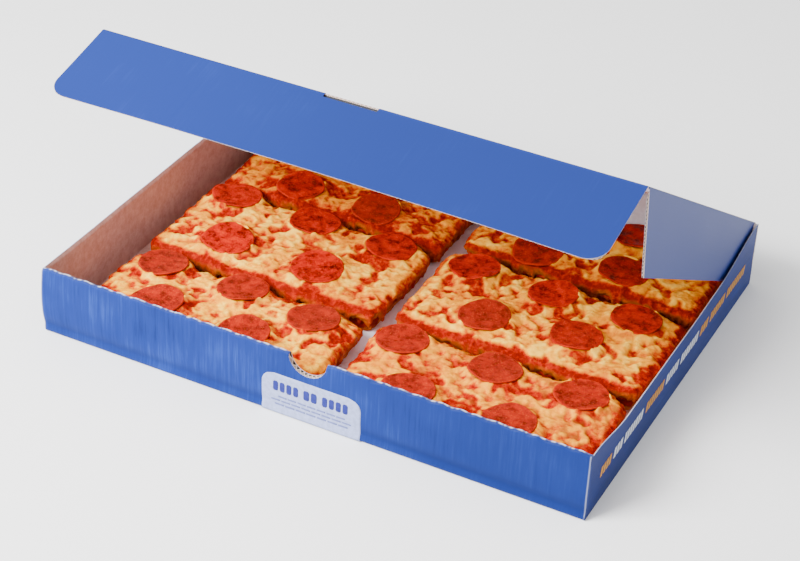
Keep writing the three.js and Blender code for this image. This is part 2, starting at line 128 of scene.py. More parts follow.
# How far the liner that is turned in behind the slot hangs below the board; it is painted near-black as
# painted shade
TURNED_IN = 0.9
TUCK_BEND = math.radians(46.0)
TUCK_LENGTH = 68.9
TUCK_SET_IN = 0.3
TUCK_RADIUS = 14.0
TUCK_SCORES = (-103.6, -49.5, 53.0)
SCORE_DEPTH = 0.16
# Side flaps: the ends of their crease, then distances along it and down from it
SIDE_FLAP_CREASE = (6.0, LID_LENGTH - 2.5)
SIDE_FLAP_BACK = (30.0, 46.0)
SIDE_FLAP_HEEL = (2.6, 6.4)
SIDE_FLAP_FRONT = {1: (237.7, 54.9), -1: (237.7, 51.0)}

# Pizza: heights of its layers, a hair apart
CHEESE_LEVEL = 21.7
CHEESE_FOOT = 15.6
SAUCE_TOP, SAUCE_FOOT = 15.5, 13.2
CRUST_RINGS = (13.0, 12.3, 11.0, 9.4, 7.8, 6.2, 4.7, 3.4, 2.4, 1.95)
SAUSAGE_THICK = 1.35
# How far the cheese is below a disc's middle, and the sausage's underside
DISC_SUNK = 1.2
SAUSAGE_SUNK = 1.25
SLICES = [f"{row}_{column}" for column in ("left", "right") for row in ("front", "middle", "back")]
PEPPERONI_PER_SLICE = 5
# How far some slices keep the pale cheese colours: the back left one less, as painted shade for the lid's
# shadow on it, and the front ones a little less
DIMMED_COVER_SHARE = {"front_left": 0.92, "front_right": 0.7, "back_left": 0.62}

# How far a field of ink stands off its wall, so that the two don't fight
PRINT_LIFT = 0.14
INK_THICK = 0.03
# Stretches of print, left to right: the label's heading, its lines with their heights, and the right
# wall's words between two heights
LABEL_HEADING = ((-21.0, -2.0), (2.0, 12.0), (16.0, 35.0))
LABEL_LINES = ((13.6, -17.0, 33.0), (10.2, -22.5, 37.5), (6.8, -20.0, 35.0))
WALL_PRINT = (20.5, 28.0)
PRINT_SLANT = 0.25
AMBER_WORDS = ((-135.0, -118.0), (-58.0, -27.0), (43.0, 58.0), (63.0, 92.0), (97.0, 134.0))
WHITE_WORDS = ((-113.0, -99.0), (-95.0, -64.0), (-22.0, 0.0), (5.0, 38.0))

CAMERA_PLACE = (530.76, -1113.72, 846.21)
CAMERA_AIM = (-5.88, -0.38, 20.0)
CAMERA_ROLL = math.radians(2.785)
CAMERA_SHIFT = (-0.0017, 0.0007)


# ---------------------------------------------------------------- settings


class BoxSettings(bpy.types.PropertyGroup):
    """Colours of the printed box."""

    ink: StringProperty(name="Ink", description="Blue printed on the outside", default="#172e76")
    ink_light: StringProperty(
        name="Light streaks", description="Thinner ink along the flutes", default="#2c4a9e"
    )
    # The liner colour is darker and pinker than the white paper: painted shade, with painted warm light off
    # the pizza.
    liner: StringProperty(name="Liner", description="White paper inside the box", default="#cca49a")
    amber: StringProperty(name="Amber", description="Amber bars on the right wall", default="#c68a24")


class PizzaSettings(bpy.types.PropertyGroup):
    """Sizes and colours of the food."""

    cell: FloatProperty(
        name="Cell", description="Grid cell of the cheese, in millimetres", default=0.75, min=0.4, max=3.0
    )
    shreds: IntProperty(
        name="Shreds", description="Shreds of cheese on one slice", default=300, min=50, max=2000
    )
    pepperoni_red: StringProperty(
        name="Pepperoni", description="Lean meat of the pepperoni", default="#a81002"
    )


class StudioSettings(bpy.types.PropertyGroup):
    """Camera, floor and lights."""

    lens: FloatProperty(name="Lens", description="Focal length in millimetres", default=93.74)
    key_power: FloatProperty(name="Key light", description="Power of the key light in watts", default=120.0)
    top_power: FloatProperty(name="Top light", description="Power of the top light in watts", default=30.0)
    sky: FloatProperty(name="Sky", description="Brightness of the surrounding white", default=1.0)
    floor: StringProperty(name="Floor", description="Colour of the floor", default="#fafafa")


# ---------------------------------------------------------------- numbers


def stacked(*values):
    """Arrays of numbers put together as one array of points."""
    return np.stack(values, axis=-1)


def smooth_step(value, low, high):
    """0 below low, 1 above high, and 3t^2 - 2t^3 between them."""
    t = np.clip((value - low) / (high - low), 0.0, 1.0)
    return t * t * (3.0 - 2.0 * t)


def noise(x, y, cell, seed):
    """Gradient noise, about -1 to 1: each corner of a square lattice has a random slope, and the slopes'
    planes are blended across the square by 6t^5 - 15t^4 + 10t^3."""
    size = 64
    angle = np.random.default_rng(seed).random((size, size)) * 2.0 * np.pi
    u, v = x / cell, y / cell
    i, j = np.floor(u).astype(int), np.floor(v).astype(int)
    fu, fv = u - i, v - j

    def corner(di, dj):
        a = angle[(i + di) % size, (j + dj) % size]
        return np.cos(a) * (fu - di) + np.sin(a) * (fv - dj)

    wu, wv = (f**3 * (6.0 * f**2 - 15.0 * f + 10.0) for f in (fu, fv))
    near = corner(0, 0) * (1.0 - wu) + corner(1, 0) * wu
    far = corner(0, 1) * (1.0 - wu) + corner(1, 1) * wu
    return (near * (1.0 - wv) + far * wv) * 1.6


def blurred(values, sigma):
    """Gaussian blur of a 2D array, first down its columns and then along its rows; sigma in cells."""
    reach = int(math.ceil(3.0 * sigma))
    kernel = np.exp(-0.5 * (np.arange(-reach, reach + 1) / sigma) ** 2)
    kernel /= kernel.sum()
    for axis in (0, 1):
        padded = np.pad(values, [(reach, reach) if a == axis else (0, 0) for a in (0, 1)], mode="edge")
        length = values.shape[axis]
        values = sum(k * np.take(padded, range(s, s + length), axis) for s, k in enumerate(kernel))
    return values


def unit(vector):
    """The vector at length 1."""
    return np.asarray(vector, float) / np.linalg.norm(vector)


# ---------------------------------------------------------------- meshes


class Patch:
    """A grid of points, rows x columns x 3, that becomes quads. Its faces point to columns x rows, or
    the other way with flip. values are arrays of rows x columns, uv is rows x columns x 2 in metres."""

    def __init__(self, points, material=0, flip=False, uv=None, values=None):
        self.points, self.material, self.flip, self.uv = np.asarray(points, float), material, flip, uv
        self.values = values or {}

    def quads(self):
        """Corner numbers of each cell, going round it."""
        rows, columns = self.points.shape[:2]
        number = np.arange(rows * columns).reshape(rows, columns)
        corners = [number[:-1, :-1], number[:-1, 1:], number[1:, 1:], number[1:, :-1]]
        return stacked(*(c.ravel() for c in corners[:: -1 if self.flip else 1]))

    def materials(self):
        """Material number of each cell."""
        rows, columns = self.points.shape[:2]
        return np.broadcast_to(self.material, (rows - 1, columns - 1)).ravel()


def make_piece(name, patches, materials, sharp=None):
    """Mesh object of several patches: their points are put in one list, those that fall together are
    made one, and cells that this narrows become triangles or go."""
    points = np.concatenate([p.points.reshape(-1, 3) for p in patches])
    offsets = np.cumsum([0] + [p.points[..., 0].size for p in patches])
    quads = np.concatenate([p.quads() + o for p, o in zip(patches, offsets)])
    face_material = np.concatenate([p.materials() for p in patches])
    _, first, merged = np.unique(np.round(points, 3), axis=0, return_index=True, return_inverse=True)
    corners = merged.reshape(-1)[quads]
    keep = corners != np.roll(corners, 1, axis=1)
    keep &= ~((corners == np.roll(corners, 2, axis=1)).any(axis=1))[:, None]
    real = keep.sum(axis=1) >= 3
    keep = keep[real]
    loops, sources, sizes = corners[real][keep], quads[real][keep], keep.sum(axis=1)
    mesh = bpy.data.meshes.new(name)

    def fill(items, key, values, kind):
        items.foreach_set(key, np.asarray(values).astype(kind).ravel())

    mesh.vertices.add(len(first))
    fill(mesh.vertices, "co", points[first] * MM, np.float32)
    mesh.loops.add(len(loops))
    fill(mesh.loops, "vertex_index", loops, np.int32)
    mesh.polygons.add(len(sizes))
    fill(mesh.polygons, "loop_start", np.cumsum(sizes) - sizes, np.int32)
    fill(mesh.polygons, "material_index", face_material[real], np.int32)
    fill(mesh.polygons, "use_smooth", np.ones(len(sizes)), bool)
    for key in patches[0].values:
        sheets = [np.broadcast_to(p.values.get(key, 0.0), p.points.shape[:2]) for p in patches]
        value = np.concatenate([sheet.ravel() for sheet in sheets])[first]
        fill(mesh.attributes.new(key, "FLOAT", "POINT").data, "value", value, np.float32)
    if patches[0].uv is not None:
        uv = np.concatenate([np.asarray(p.uv, float).reshape(-1, 2) for p in patches])
        fill(mesh.uv_layers.new(name="UVMap").data, "uv", uv[sources], np.float32)
    mesh.update(calc_edges=True)
    mesh.validate()
    if sharp:
        mesh.set_sharp_from_angle(angle=math.radians(sharp))
    for material in materials:
        mesh.materials.append(material)
    piece = bpy.data.objects.new(name, mesh)
    bpy.context.scene.collection.objects.link(piece)
    return piece


def add_piece(name, patches, materials, body, node=None, sharp=None):
    """A piece that rides on a body and, if a CAD node is named, takes its place."""
    piece = make_piece(name, patches, materials, sharp)
    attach(piece, body)
    if node:
        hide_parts(node)


def border(values):
    """The outer points of a grid, once round it and back to the first: along the first row, up the
    last column, back along the last row and down the first column."""
    return np.concatenate([values[0, :-1], values[:-1, -1], values[-1, :0:-1], values[::-1, 0]])


def board_patches(outer, normal, thickness, uv):
    """Closed sheet of board. outer is the grid of its outer face, which looks along normal; the inner
    face lies thickness behind it, and a strip of cut edge runs round between the two. The strip's map
    has the distance along it, in metres, and the share of the thickness."""
    inner = outer - np.asarray(normal) * np.broadcast_to(thickness, outer.shape[:2])[..., None]
    line = border(outer)
    share = np.linspace(0.0, 1.0, RIM_LAYERS + 1)[:, None]
    rim = line * (1.0 - share[..., None]) + border(inner) * share[..., None]
    along = np.concatenate([[0.0], np.cumsum(np.linalg.norm(np.diff(line, axis=0), axis=1))]) * MM
    rim_uv = stacked(*np.broadcast_arrays(along, share))
    return [Patch(outer, 0, uv=uv), Patch(inner, 1, flip=True, uv=uv), Patch(rim, 2, flip=True, uv=rim_uv)]


# ---------------------------------------------------------------- materials


def linear(hex_colour, strength=1.0):
    """sRGB hex colour as linear RGBA, darkened to a strength."""
    parts = [int(hex_colour[i : i + 2], 16) / 255.0 for i in (1, 3, 5)]
    return [(p / 12.92 if p <= 0.04045 else ((p + 0.055) / 1.055) ** 2.4) * strength for p in parts] + [1.0]


def colour_of(value):
    """A colour given in hex as linear RGBA; anything else as it is."""
    return linear(value) if isinstance(value, str) else value


def add(tree, kind, inputs, out=0, stops=(), **settings):
    """Adds a node and returns one of its outputs. inputs gives its sockets a value, a hex colour or a
    link, stops fill its colour ramp, and the rest are the node's own settings."""
    node = tree.nodes.new("ShaderNode" + kind)
    for key, value in settings.items():
        setattr(node, key, value)
    for key, value in inputs.items():
        if isinstance(value, bpy.types.NodeSocket):
            tree.links.new(value, node.inputs[key])
        else:
            node.inputs[key].default_value = colour_of(value)
    while 0 < len(stops) > len(node.color_ramp.elements):
        node.color_ramp.elements.new(0.5)
    for k, (position, colour) in enumerate(stops):
        node.color_ramp.elements[k].position = position
        node.color_ramp.elements[k].color = colour_of(colour)
    return node.outputs[out] if node.outputs else None


def maths(tree, operation, *values):
    """A sum on up to three numbers or links."""
    return add(tree, "Math", dict(enumerate(values)), operation=operation)


def ramp(tree, share, *stops):
    """A colour ramp over a share."""
    return add(tree, "ValToRGB", {"Fac": share}, stops=stops)


def mix(tree, share, first, second):
    """Two colours mixed by a share."""
    return add(tree, "Mix", {0: share, 6: first, 7: second}, 2, data_type="RGBA")


def spread(tree, value, *ends):
    """A value's stretch from the first to the second end, moved onto that from the third to the fourth."""
    names = ("From Min", "From Max", "To Min", "To Max")
    return add(tree, "MapRange", {"Value": value, **dict(zip(names, ends))})


def mottle(tree, place, size, detail, roughness=0.5):
    """Noise whose largest blots are about size millimetres."""
    inputs = {"Vector": place, "Scale": 1.0 / (size * MM), "Detail": detail, "Roughness": roughness}
    return add(tree, "TexNoise", inputs)


def bump(tree, height, distance, strength):
    """Normal of a relief, its height in millimetres."""
    return add(tree, "Bump", {"Height": height, "Distance": distance * MM, "Strength": strength})


def own_place(tree):
    """Place on the piece itself, in metres."""
    return add(tree, "TexCoord", {}, "Object")


def on_map(tree):
    """Place on the piece's map, in metres."""
    return add(tree, "UVMap", {}, uv_map="UVMap")


def attribute(tree, name):
    """A value that is stored with the shape."""
    return add(tree, "Attribute", {}, "Fac", attribute_name=name)


def part_of(tree, place, axis):
    """One coordinate of a place."""
    return add(tree, "SeparateXYZ", {"Vector": place}, axis)


def finish(name, make, *values):
    """The material of a name. If it isn't there yet it is made, with a shader whose sockets are what
    make gives for its node tree."""
    material = bpy.data.materials.get(name)
    if material is None:
        material = bpy.data.materials.new(name)
        material.use_nodes = True
        tree = material.node_tree
        tree.nodes.clear()
        add(tree, "OutputMaterial", {"Surface": add(tree, "BsdfPrincipled", make(tree, *values))})
    return material


def printed_liner(tree, unevenness, ior):
    """Coated white liner, flexo-printed blue on corrugated board. The ink takes unevenly over the
    flutes, which gives the eye darker and lighter streaks along them, and the coating a satin glare.
    Where the board is folded hard the ink cracks and white paper shows, and down the front wall's
    ends it is lightened as a painted highlight; in the pressed crease and where a face lies in shade
    it is darkened as painted shade. Two stored values, from 0 to 1, say where."""
    settings = bpy.context.scene.boxed_pizza_box
    ink, darker = settings.ink, linear(settings.ink, 0.6)
    place = on_map(tree)
    stretched = add(tree, "Mapping", {"Vector": place, "Scale": (1.0, 0.035, 1.0)})
    streaks = mottle(tree, stretched, 1.8, 5.0, 0.7)
    level = maths(tree, "MULTIPLY_ADD", mottle(tree, place, 45.0, 2.0), 0.7, streaks)
    level = maths(tree, "MULTIPLY_ADD", level, unevenness, 0.5 - 0.85 * unevenness)
    tone = ramp(tree, level, (0.3, darker), (0.46, ink), (0.52, ink), (0.8, settings.ink_light))
    # Painted shade: the ink is darkened where the shape says it lies in shade.
    shade_darkened = mix(tree, attribute(tree, "deep"), tone, darker)
    # Cracked ink at hard folds, and a painted highlight down the front wall's ends, both pale.
    cracked_and_highlit = mix(tree, attribute(tree, "worn"), shade_darkened, "#d4d9e8")
    # At scale 1 a wave texture's bands are a tenth of pi apart; here each flute has one
    waves = {"Vector": place, "Scale": 1.0 / (FLUTE_PITCH * MM) * math.pi / 10.0, "Distortion": 0.0}
    flutes = add(tree, "TexWave", waves, "Fac", wave_type="BANDS", bands_direction="X")
    relief = maths(tree, "MULTIPLY_ADD", flutes, 0.35, mottle(tree, place, 0.9, 3.0))
    return {"Base Color": cracked_and_highlit, "Roughness": 0.45, "IOR": ior, "Normal": bump(tree, relief, 0.05, 0.35)}


def white_liner(tree, shade, pale):
    """Uncoated white-top liner inside the box: matt, faintly mottled by its fibres, and stained by
    grease in a few soft spots. The middle of the base, away from the walls, is made palest as painted light."""
    place = own_place(tree)
    fibres = mottle(tree, place, 5.0, 4.0, 0.7)
    spots = ramp(tree, mottle(tree, place, 30.0, 3.0), (0.56, "#000000"), (0.75, "#707070"))
    paper = mix(tree, spots, ramp(tree, fibres, (0.3, shade), (0.7, pale)), "#b48470")
    # Painted light: the base is paler in the middle, away from the walls.
    low = maths(tree, "LESS_THAN", part_of(tree, place, "Z"), 1.7 * BOARD * MM)
    away = maths(tree, "ABSOLUTE", part_of(tree, place, "X"))
    painted_light = spread(tree, away, 60.0 * MM, 170.0 * MM, 1.0, 0.0)
    colour = mix(tree, maths(tree, "MULTIPLY", low, painted_light), paper, "#f4ecf4")
    return {"Base Color": colour, "Roughness": 0.75, "IOR": 1.5, "Normal": bump(tree, fibres, 0.08, 0.3)}


def cut_edge(tree):
    """Die-cut edge of the corrugated board: between two pale liners the brown medium waves from one
    to the other; the tunnels beside it are painted dark as painted shade, the inner ones darkest."""
    along, share = (part_of(tree, on_map(tree), axis) for axis in "XY")
    wave = maths(tree, "SINE", maths(tree, "MULTIPLY", along, 2.0 * math.pi / (FLUTE_PITCH * MM)))
    below = maths(tree, "SUBTRACT", share, maths(tree, "MULTIPLY_ADD", wave, 0.3, 0.5))
    off_medium = maths(tree, "GREATER_THAN", maths(tree, "ABSOLUTE", below), 0.14)
    from_middle = maths(tree, "ABSOLUTE", maths(tree, "SUBTRACT", share, 0.5))
    between = maths(tree, "LESS_THAN", from_middle, 0.42)
    board = mix(tree, between, "#c9c6d0", "#c0aca0")
    # Painted shade in the flute tunnels, darkest in the inner ones.
    tunnel_shade = mix(tree, maths(tree, "GREATER_THAN", below, 0.0), "#8c786c", "#100a08")
    colour = mix(tree, maths(tree, "MULTIPLY", off_medium, between), board, tunnel_shade)
    return {"Base Color": colour, "Roughness": 0.85, "IOR": 1.5}


def plain_edge(tree):
    """Cut edge that runs along the flutes, so that no tunnel opens: the pale, slightly furry edge of
    the paper."""
    fibres = mottle(tree, own_place(tree), 1.5, 3.0)
    colour = ramp(tree, fibres, (0.3, "#7f86a2"), (0.7, "#b4b9cc"))
    return {"Base Color": colour, "Roughness": 0.85, "IOR": 1.5, "Normal": bump(tree, fibres, 0.1, 0.5)}


def ink_patch(tree, ink):
    """A field of flexo ink on the coated liner: flat colour, a little uneven from the flutes below."""
    blots = mottle(tree, own_place(tree), 3.0, 3.0)
    colour = ramp(tree, blots, (0.35, linear(ink, 0.82)), (0.6, ink))
    return {"Base Color": colour, "Roughness": 0.5, "IOR": 1.25}


def melted_cheese(tree):
    """Mozzarella shreds melted under a hot grill: cream where they stand proud, yellow and orange where
    oil and sauce soak through, red where they part, brown where they toast. Its glare is the oil on
    it, and light goes a little way in. cover, oil and toast are worked out with the shape."""
    place, cover = own_place(tree), attribute(tree, "cover")
    curds = mottle(tree, place, 3.4, 6.0, 0.72)
    level = maths(tree, "ADD", cover, maths(tree, "MULTIPLY_ADD", curds, 1.1, -0.55))
    shares = (0.0, 0.15, 0.26, 0.38, 0.54, 0.76, 0.98)
    hues = ("#780c02", "#a41a02", "#b84202", "#cc6602", "#de8402", "#f0a204", "#ffc840")
    oiled = mix(tree, attribute(tree, "oil"), ramp(tree, level, *zip(shares, hues)), "#f09a00")
    relief = maths(tree, "MULTIPLY_ADD", mottle(tree, place, 1.1, 2.0), 0.3, curds)
    return {
        "Base Color": mix(tree, attribute(tree, "toast"), oiled, "#9a4a10"),
        "Roughness": 0.26,
        "IOR": 1.24,
        "Specular IOR Level": spread(tree, cover, 0.2, 0.6, 0.05, 0.5),
        "Specular Tint": "#ffd8a0",
        "Subsurface Weight": 0.06,
        "Subsurface Radius": (1.0, 0.4, 0.15),
        "Subsurface Scale": 1.2 * MM,
        "Normal": bump(tree, relief, 0.8, 0.6),
    }


def tomato_sauce(tree):
    """Cooked tomato sauce: deep red, darker where it has dried, paler where its oil stands."""
    pulp = mottle(tree, own_place(tree), 3.5, 4.0, 0.6)
    colour = ramp(tree, pulp, (0.3, "#740c02"), (0.5, "#a01a04"), (0.7, "#c44408"))
    return {"Base Color": colour, "Roughness": 0.6, "IOR": 1.12, "Normal": bump(tree, pulp, 0.5, 0.7)}


def baked_crust(tree):
    """Thick pan-baked dough: golden brown and fried at the foot, paler and open where it is cut, and
    red where sauce has run down it. height is the share of the side's height."""
    place = own_place(tree)
    crumb = mottle(tree, place, 4.0, 5.0, 0.65)
    runs = mottle(tree, add(tree, "Mapping", {"Vector": place, "Scale": (1.0, 1.0, 0.25)}), 7.0, 3.0)
    dough = ramp(tree, crumb, (0.3, "#843008"), (0.5, "#b85c10"), (0.72, "#e09028"))
    wet = maths(tree, "ADD", runs, attribute(tree, "height"))
    colour = mix(tree, ramp(tree, wet, (0.75, "#000000"), (1.05, "#ffffff")), dough, "#7c1203")
    return {"Base Color": colour, "Roughness": 0.8, "IOR": 1.2, "Normal": bump(tree, crumb, 0.8, 0.8)}


def cured_sausage(tree, red):
    """Sliced dry-cured pepperoni, baked: paprika-red lean, darker where it has dried, with small orange
    flecks, partly of fat and partly painted glints, and a film of oil that glares where it lies smooth.
    rim is the share of the radius: the edge is brighter, where fat runs out. tone, one number a
    slice, makes some browner: at random, and the front discs more, as painted sheen."""
    place = own_place(tree)
    meat = mottle(tree, place, 8.0, 6.0, 0.75)
    lean = ramp(tree, meat, (0.34, "#480502"), (0.44, "#7c0a02"), (0.52, red), (0.62, "#c42404"))
    # Browner at random, and on the front discs as painted sheen.
    baked = mix(tree, attribute(tree, "tone"), lean, "#6c2414")
    flecks = add(tree, "TexVoronoi", {"Vector": place, "Scale": 1.0 / (1.7 * MM), "Randomness": 1.0})
    # The flecks are partly fat, partly painted glints.
    flecks_and_glints = mix(tree, ramp(tree, flecks, (0.1, "#b0b0b0"), (0.22, "#000000")), baked, "#f0702c")
    edge = ramp(tree, attribute(tree, "rim"), (0.9, "#000000"), (0.99, "#a0a0a0"))
    return {
        "Base Color": mix(tree, edge, flecks_and_glints, "#c02c08"),
        "Roughness": spread(tree, meat, 0.35, 0.65, 0.22, 0.45),
        "IOR": 1.12,
        "Specular Tint": "#ffb090",
        "Normal": bump(tree, mottle(tree, place, 1.3, 3.0), 0.5, 0.7),
    }


def studio_floor(tree, colour):
    """Pale matt studio floor."""
    return {"Base Color": colour, "Roughness": 0.9, "Specular IOR Level": 0.1}


def board_materials():
    """The tray's finishes: its print, its inside in a darker, pinker copy of the liner as painted shade
    with painted warm light off the pizza, the board's cut edges across and along the flutes, and the
    back wall's inside in the paler copy of the liner as painted light."""
    return [
        finish("flexo_printed_liner", printed_liner, 0.8, 1.16),
        # Painted shade: the tray's liner is darker and pinker than white, for its shade and the warm light
        # off the pizza.
        finish("white_top_liner", white_liner, "#ae8478", bpy.context.scene.boxed_pizza_box.liner),
        finish("cut_corrugated_edge", cut_edge),
        finish("cut_liner_edge", plain_edge),
        # Paler copy of the liner for the back wall's inside, as painted light.
        finish("lit_white_top_liner", white_liner, "#dcd8e0", "#f0eef4"),
    ]


def lid_materials():
    """The lid's finishes: its print lies smoother than the tray's, its inside takes the paler copy of the
    liner, which stands for lit paper, and the slot's dark edge is painted shade.
    """
    return [
        finish("smooth_flexo_printed_liner", printed_liner, 0.22, 1.34),
        finish("lit_white_top_liner", white_liner, "#dcd8e0", "#f0eef4"),
        finish("cut_corrugated_edge", cut_edge),
        finish("shaded_slot_edge", ink_patch, "#0c0c14"),
    ]


# ---------------------------------------------------------------- box


def front_bulge(x, z):
    """How far the front wall stands out at a place on it: a soft swell near its left end, a slight
    waviness, and a line pressed in above its foot, steeper below than above."""
    swell = 0.9 * np.exp(-(((x + 172.0) / 34.0) ** 2)) * np.sin(np.pi * np.clip(z / WALL_TOP, 0.0, 1.0))
    off_foot = np.clip(z / 12.0, 0.0, 1.0)
    waves = 0.3 * noise(x, z, 55.0, 3) * off_foot + 0.1 * noise(x, z * 0.12, 5.0, 5) * off_foot
    reach = np.where(z < PRESSED_LINE, 2.3, 5.5)
    return swell + waves - 0.75 * np.exp(-(((z - PRESSED_LINE) / reach) ** 2))


def corner_bulge(z, distance):
    """How far the left front corner stands out sideways, at a distance from it."""
    return 1.5 * np.sin(np.pi * np.clip(z / WALL_TOP, 0.0, 1.0)) * np.exp(-((distance / 22.0) ** 2))


def front_wall_patches():
    """The front wall's section, carried along x: under the foot, round it, up the outer face, over
    the roll and down inside. Heights are cut off at the finger notch, so there the section ends in
    a flat cut. The two ends are flat caps between outer and inner face. The roll's top is toothed, and
    worn white there. Down the wall's two vertical ends the ink is lightened as a painted highlight,
    and it is darkened as painted shade in the pressed line and towards the right."""
    roll_z, roll_radius = WALL_TOP - ROLL_DEPTH / 2.0, ROLL_DEPTH / 2.0
    foot = np.linspace(0.0, 0.5 * np.pi, 6)
    roll = np.linspace(np.pi, 0.0, 13)
    up = np.linspace(FOOT_RADIUS, roll_z, 30)[1:-1]
    down = np.linspace(roll_z, BOARD, 22)[1:]
    foot_y, roll_y = FOOT_RADIUS * (1.0 - np.sin(foot)), roll_radius * (1.0 + np.cos(roll))
    foot_z, roll_top = FOOT_RADIUS * (1.0 - np.cos(foot)), roll_z + roll_radius * np.sin(roll)
    y = np.concatenate([[FOOT_RADIUS + 5.0], foot_y, 0.0 * up, roll_y, 0.0 * down + ROLL_DEPTH])[:, None]
    z = np.concatenate([[0.0], foot_z, up, roll_top, down])[:, None]
    notch = NOTCH_X - NOTCH_RADIUS * np.cos(np.linspace(0.0, np.pi, 41))
    beside = [np.linspace(-SIDE_X, notch[0] - 1.0, 190), np.linspace(notch[-1] + 1.0, SIDE_X, 190)]
    x = np.unique(np.concatenate([*beside, notch])) + 0.0 * y
    y, z = y + 0.0 * x, z + 0.0 * x
    phase = x / 14.0 + 0.5 * noise(x, 0.0 * x, 40.0, 7)
    saw = np.abs(2.0 * (phase % 1.0) - 1.0)
    teeth = 0.8 * (saw - 0.5) + 0.35 * noise(x, 0.0 * x, 7.0, 8)
    z = z + teeth * smooth_step(z, roll_z - 3.0, WALL_TOP)
    inside = np.clip(1.0 - ((x - NOTCH_X) / NOTCH_RADIUS) ** 2, 0.0, None)
    cut = np.where(inside > 0.0, WALL_TOP - NOTCH_RADIUS * np.sqrt(inside), 2.0 * WALL_TOP)
    clipped = z > cut
    z = np.minimum(z, cut)
    inward = y / ROLL_DEPTH
    y = FRONT_Y + y - front_bulge(x, z)
    points = stacked(x - corner_bulge(z, x + SIDE_X), y, z)
    nicked = 0.12 + 0.88 * smooth_step(noise(x, 0.0 * x, 3.2, 9) + 0.5 * saw, 0.05, 0.4)
    ragged = 0.35 * noise(x, 0.0 * x, 5.0, 10)
    on_top = smooth_step(z + ragged, WALL_TOP - 1.2, WALL_TOP - 0.4)
    worn = nicked * on_top * smooth_step(inward + 0.2 * ragged, 0.3, 0.6)
    outside = inward < 0.2
    # Painted highlight: a pale line down the wall's two vertical ends.
    worn = np.maximum(worn, 0.3 * (np.abs(x) > SIDE_X - 0.3) * outside * smooth_step(z, 1.0, 4.0))
    # Painted shade: darker ink in the pressed line and towards the right; the noise is random unevenness.
    deep = 0.45 * np.exp(-(((z - PRESSED_LINE - 1.5) / 3.2) ** 2)) * outside
    deep = deep + 0.15 + 0.5 * smooth_step(x, -10.0, 150.0) + 0.12 * noise(x, z, 38.0, 11)
    round_length = np.cumsum(np.abs(np.diff(z, axis=0, prepend=z[:1])), axis=0)
    behind = (np.arange(len(y) - 1)[:, None] >= len(y) - len(down)) & (z[:-1, :-1] < roll_z - INK_BELOW_ROLL)
    material = np.where(clipped[:-1, :-1] & clipped[1:, 1:], 2, np.where(behind, 1, 0))
    across = np.clip((y - FRONT_Y) / ROLL_DEPTH, 0.0, 1.0)
    uv = np.where(clipped[..., None], stacked(x * MM, across), stacked(x, round_length) * MM)
    values = {"worn": worn, "deep": np.clip(deep, 0.0, 1.0)}
    patches = [
        Patch(points, material, flip=True, uv=uv, values=values),
        Patch(points[[-1, 0]], 1, flip=True, uv=uv[[-1, 0]]),
    ]
    for column, flip in ((0, True), (-1, False)):
        line = points[:, column]
        outer = line[1 : len(foot) + len(up) + len(roll) // 2 + 2]
        inner = line[: len(line) - len(down) - len(roll) // 2 - 2 : -1]
        inner = inner[np.linspace(0, len(inner) - 1, len(outer)).round().astype(int)]
        inner[-1] = outer[-1]
        share = np.linspace(0.0, 1.0, 3)[:, None, None]
        cap = outer * (1.0 - share) + inner * share
        cap_uv = stacked(cap[..., 2] * MM, share[..., 0] + 0.0 * cap[..., 2])
        patches.append(Patch(cap, 0, flip=flip, uv=cap_uv))
    return patches


def right_wall_top(y):
    """Height of the right wall's top edge: level at both ends, dipped between them."""
    front = (DIP_FRONT_TOP - DIP_BOTTOM) * (1.0 - smooth_step(y, *DIP_FRONT))
    return DIP_BOTTOM + front + (WALL_TOP - DIP_BOTTOM) * smooth_step(y, *DIP_BACK)


def side_face(y, z):
    """How far a side wall's outer face is from the box's middle: it waves a little out of its plane."""
    return SIDE_X + SIDE_PROUD + 0.3 * noise(y, z, 70.0, 12) * np.clip(z / 15.0, 0.0, 1.0)


def side_wall_patches(side):
    """A side wall: a grid over its length and height whose top row follows the top edge."""
    rise = np.concatenate([np.linspace(0.0, 0.9, 44), [0.93, 0.955, 0.975, 0.99, 1.0]])
    y, share = np.meshgrid(np.linspace(FRONT_Y + 0.9, BACK_Y, 170)[::side], rise)
    top = right_wall_top(y) if side > 0 else np.full_like(y, WALL_TOP - 0.3)
    top = top + 0.12 * noise(y, 0.0 * y, 11.0, 21)
    z = share * top
    x = side * side_face(y, z)
    if side < 0:
        x = x - corner_bulge(z, y - FRONT_Y)
    flutes = 0.3 * np.sin(2.0 * np.pi * z / FLUTE_PITCH) * smooth_step(y, BACK_Y - 2.0, BACK_Y)
    thickness = BOARD * (0.3 + 0.7 * smooth_step(top - z, 0.0, 2.5))
    outer = stacked(x, y - flutes, z)
    patches = board_patches(outer, (side, 0.0, 0.0), thickness, outer[..., [2, 1]] * MM)
    # Painted shade: the ink is darker towards the front and lighter towards the back, for the floor's shadow
    # that the wall reflects.
    patches[0].values = {"deep": 0.75 - 0.5 * smooth_step(outer[..., 1], -130.0, 130.0)}
    patches[2].material = 3
    return patches


def back_wall_patches():
    """The back wall, thinned on the inside under the lid's fold line."""
    x, z = np.meshgrid(np.linspace(SIDE_X - 0.1, -SIDE_X + 0.1, 120), np.linspace(0.0, WALL_TOP - 0.6, 24))
    outer = stacked(x, BACK_Y + 0.2 * noise(x, z, 60.0, 31) * np.sin(np.pi * z / WALL_TOP), z)
    thickness = BOARD - 1.3 * smooth_step(z, WALL_TOP - 2.2, WALL_TOP - 1.2)
    patches = board_patches(outer, (0.0, 1.0, 0.0), thickness, stacked(x, z) * MM)
    # Painted light: the back wall's inside takes the paler copy of the liner.
    patches[1].material = 4
    return patches


